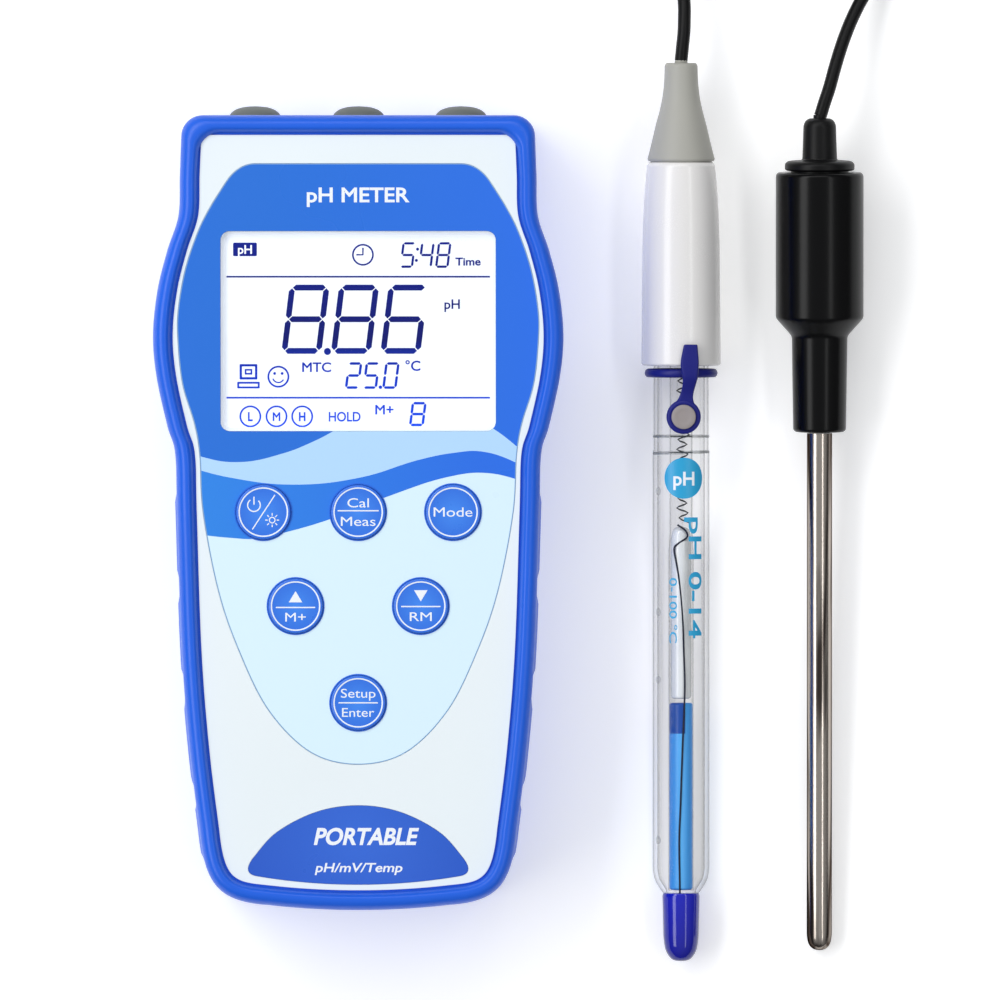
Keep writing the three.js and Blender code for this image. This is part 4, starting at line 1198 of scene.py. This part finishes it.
# ---- Temperature probe ----------------------------------------------------------------------------
# A turned black plastic handle with a rubber strain relief, and a polished stainless steel rod.
# It rests on the handle's rim and on the rod's tip.
HANDLE_R, ROD_R = 9.45, 2.7
RIM_TO_TIP = 133.3
PROBE_TILT = math.atan((HANDLE_R - ROD_R) / RIM_TO_TIP)
probe_place = at(66.75, 41.6, HANDLE_R * math.cos(PROBE_TILT)) @ Matrix.Rotation(PROBE_TILT, 4, "X")
handle = turned("probe_handle_grip", [
    (0, -24.4), (5.2, -24.4, 0.3), (5.7, -23.9, 0.4), (6.0, -3.9, 0.6), (6.6, -3.1, 0.5), (8.9, -0.55, 0.6),
    (HANDLE_R, 0.2, 0.8), (HANDLE_R, 30.8, 0.5), (9.0, 31.4, 0.3), (0, 31.4)], probe_place, 128)
handle_black = Finish("handle_plastic", "#050506", 0.24, specular_ior_level=0.16)
handle_black.worn(0.14, 0.24, 5, 0.004, 0.2)
dress(smooth(handle, 45), handle_black, "temp_probe", "handle_plastic", "probe_handle")

probe_boot = turned("probe_relief_boot", [
    (0, 31.4), (6.2, 31.4), (6.2, 31.75), (7.0, 31.75, 0.2), (7.5, 32.0, 0.3), (7.5, 33.3, 0.5),
    (6.8, 33.85, 0.4), (3.75, 34.1, 0.4), (3.6, 38), (3.5, 41.6, 0.5), (3.05, 42.5, 0.3), (2.3, 43, 0.3),
    (1.6, 43, 0.1), (1.37, 42.8), (1.37, 43.75), (0, 43.75)], probe_place, 96)
boot_rubber = Finish("boot_rubber", "#0a0a0b", 0.42, specular_ior_level=0.2).worn(0.16, 0.42, 4, 0.012, 0.2)
dress(smooth(probe_boot, 45), boot_rubber, "temp_probe", "black_rubber", "probe_relief")

rod = turned("probe_rod_steel", [
    (0, -136, 0.5), (1.3, -135.8, 0.8), (2.3, -134.8, 1), (ROD_R, -133, 1), (ROD_R, -24.7),
    (0, -24.7)], probe_place, 96)
# Painted reflection and shade: broad light and dark streaks run along the steel's colour, and its dark edge
# tint darkens the rod's sides.
rod_steel = Finish("rod_steel", "#8d8379", 0.16, metallic=1.0, specular_tint=paint("#3c3330"))
lengthwise_streaks = rod_steel.noise(3, 3, (1, 0.02, 1))
reflection_streaks = ((rod_steel.noise(0.45, 2, (1, 0.012, 1)) - 0.47) * 7).clamped()
rod_steel.put("Base Color", rod_steel.mix(reflection_streaks, paint("#b8afa6"), paint("#4a423d")))
rod_steel.put("Roughness", 0.13 + lengthwise_streaks * 0.1)
rod_steel.bump(lengthwise_streaks, 0.003)
dress(smooth(rod, 45), rod_steel, "temp_probe", "rod_steel", "probe_rod")

# ---- Plugs on the leads ---------------------------------------------------------------------------
# A nickel bayonet plug for the electrode, with a knurled turning collar, and a small phono plug for
# the probe. Each is crimped on the end of its lead.
point_left = Matrix.Rotation(math.radians(90), 4, "Z")
plug_place = at(-34.3, 166.5, 7.25) @ point_left
bnc = turned("bnc_plug_shell", [
    (0, -0.35), (1.37, -0.35), (1.37, 0), (2.8, 0, 0.3), (3.1, 0.5, 0.3), (3.4, 1.4, 0.3),
    (3.4, 12, 0.5), (5, 13.5, 0.3), (5, 18.9, 0.2), (4.05, 19.3, 0.2), (4.0, 32.8, 0.2), (3.5, 33),
    (3.5, 25), (0.6, 25), (0.5, 31.6, 0.3), (0, 32)], plug_place, 96)
dress(smooth(bnc, 40), nickel, "electrode", "nickel", "bnc_plug")


def collar_knurl(radius, along, angle):
    if radius < 6.8:
        return 0
    return -0.16 + 0.16 * math.cos(40 * angle) if 20 < along < 33.5 else 0


collar = turned("bnc_collar_knurled", [
    (5.35, 14.1), (6.6, 14.1, 0.3), (7.1, 14.7, 0.3), (7.1, 19.4, 0.2), (6.7, 19.6), (6.7, 20.2),
    (7.2, 20.5)]
    + [(7.2, 20.5 + k) for k in range(1, 13)] + [
    (7.2, 33.2), (6.7, 33.6), (6.9, 34.2, 0.2), (6.6, 34.5, 0.2), (5.4, 34.5),
    (5.35, 14.1)], plug_place, 160, collar_knurl)
dress(smooth(collar, 40), nickel, "bnc_collar", "nickel", "bnc_collar")

phono_place = at(22.2, 175, 5) @ point_left


def phono_grip(radius, along, angle):
    return -0.12 + 0.12 * math.cos(28 * angle) if radius > 4.85 and 10 < along < 25 else 0


phono = turned("phono_plug_shell", [
    (0, -0.35), (1.37, -0.35), (1.37, 0), (2.1, 0, 0.3), (2.4, 0.5, 0.3), (3.2, 6, 0.8), (4.95, 9, 0.6),
    (4.95, 10.5)]
    + [(4.95, 11 + k) for k in range(14)] + [(4.95, 25.6, 0.4), (4.4, 26.8, 0.3), (0, 26.8)],
    phono_place, 112, phono_grip)
dress(smooth(phono, 40), handle_black, "temp_probe", "handle_plastic", "phono_plug")
phono_metal = turned("phono_plug_contacts", [
    (0, 26.9), (4.35, 26.9, 0.1), (4.35, 34.8, 0.2), (3.85, 35), (3.85, 28.2), (1.55, 28.2),
    (1.55, 37.6, 0.4), (1.1, 38.9, 0.4), (0, 39)], phono_place, 96)
dress(smooth(phono_metal, 40), nickel, "temp_probe", "nickel")
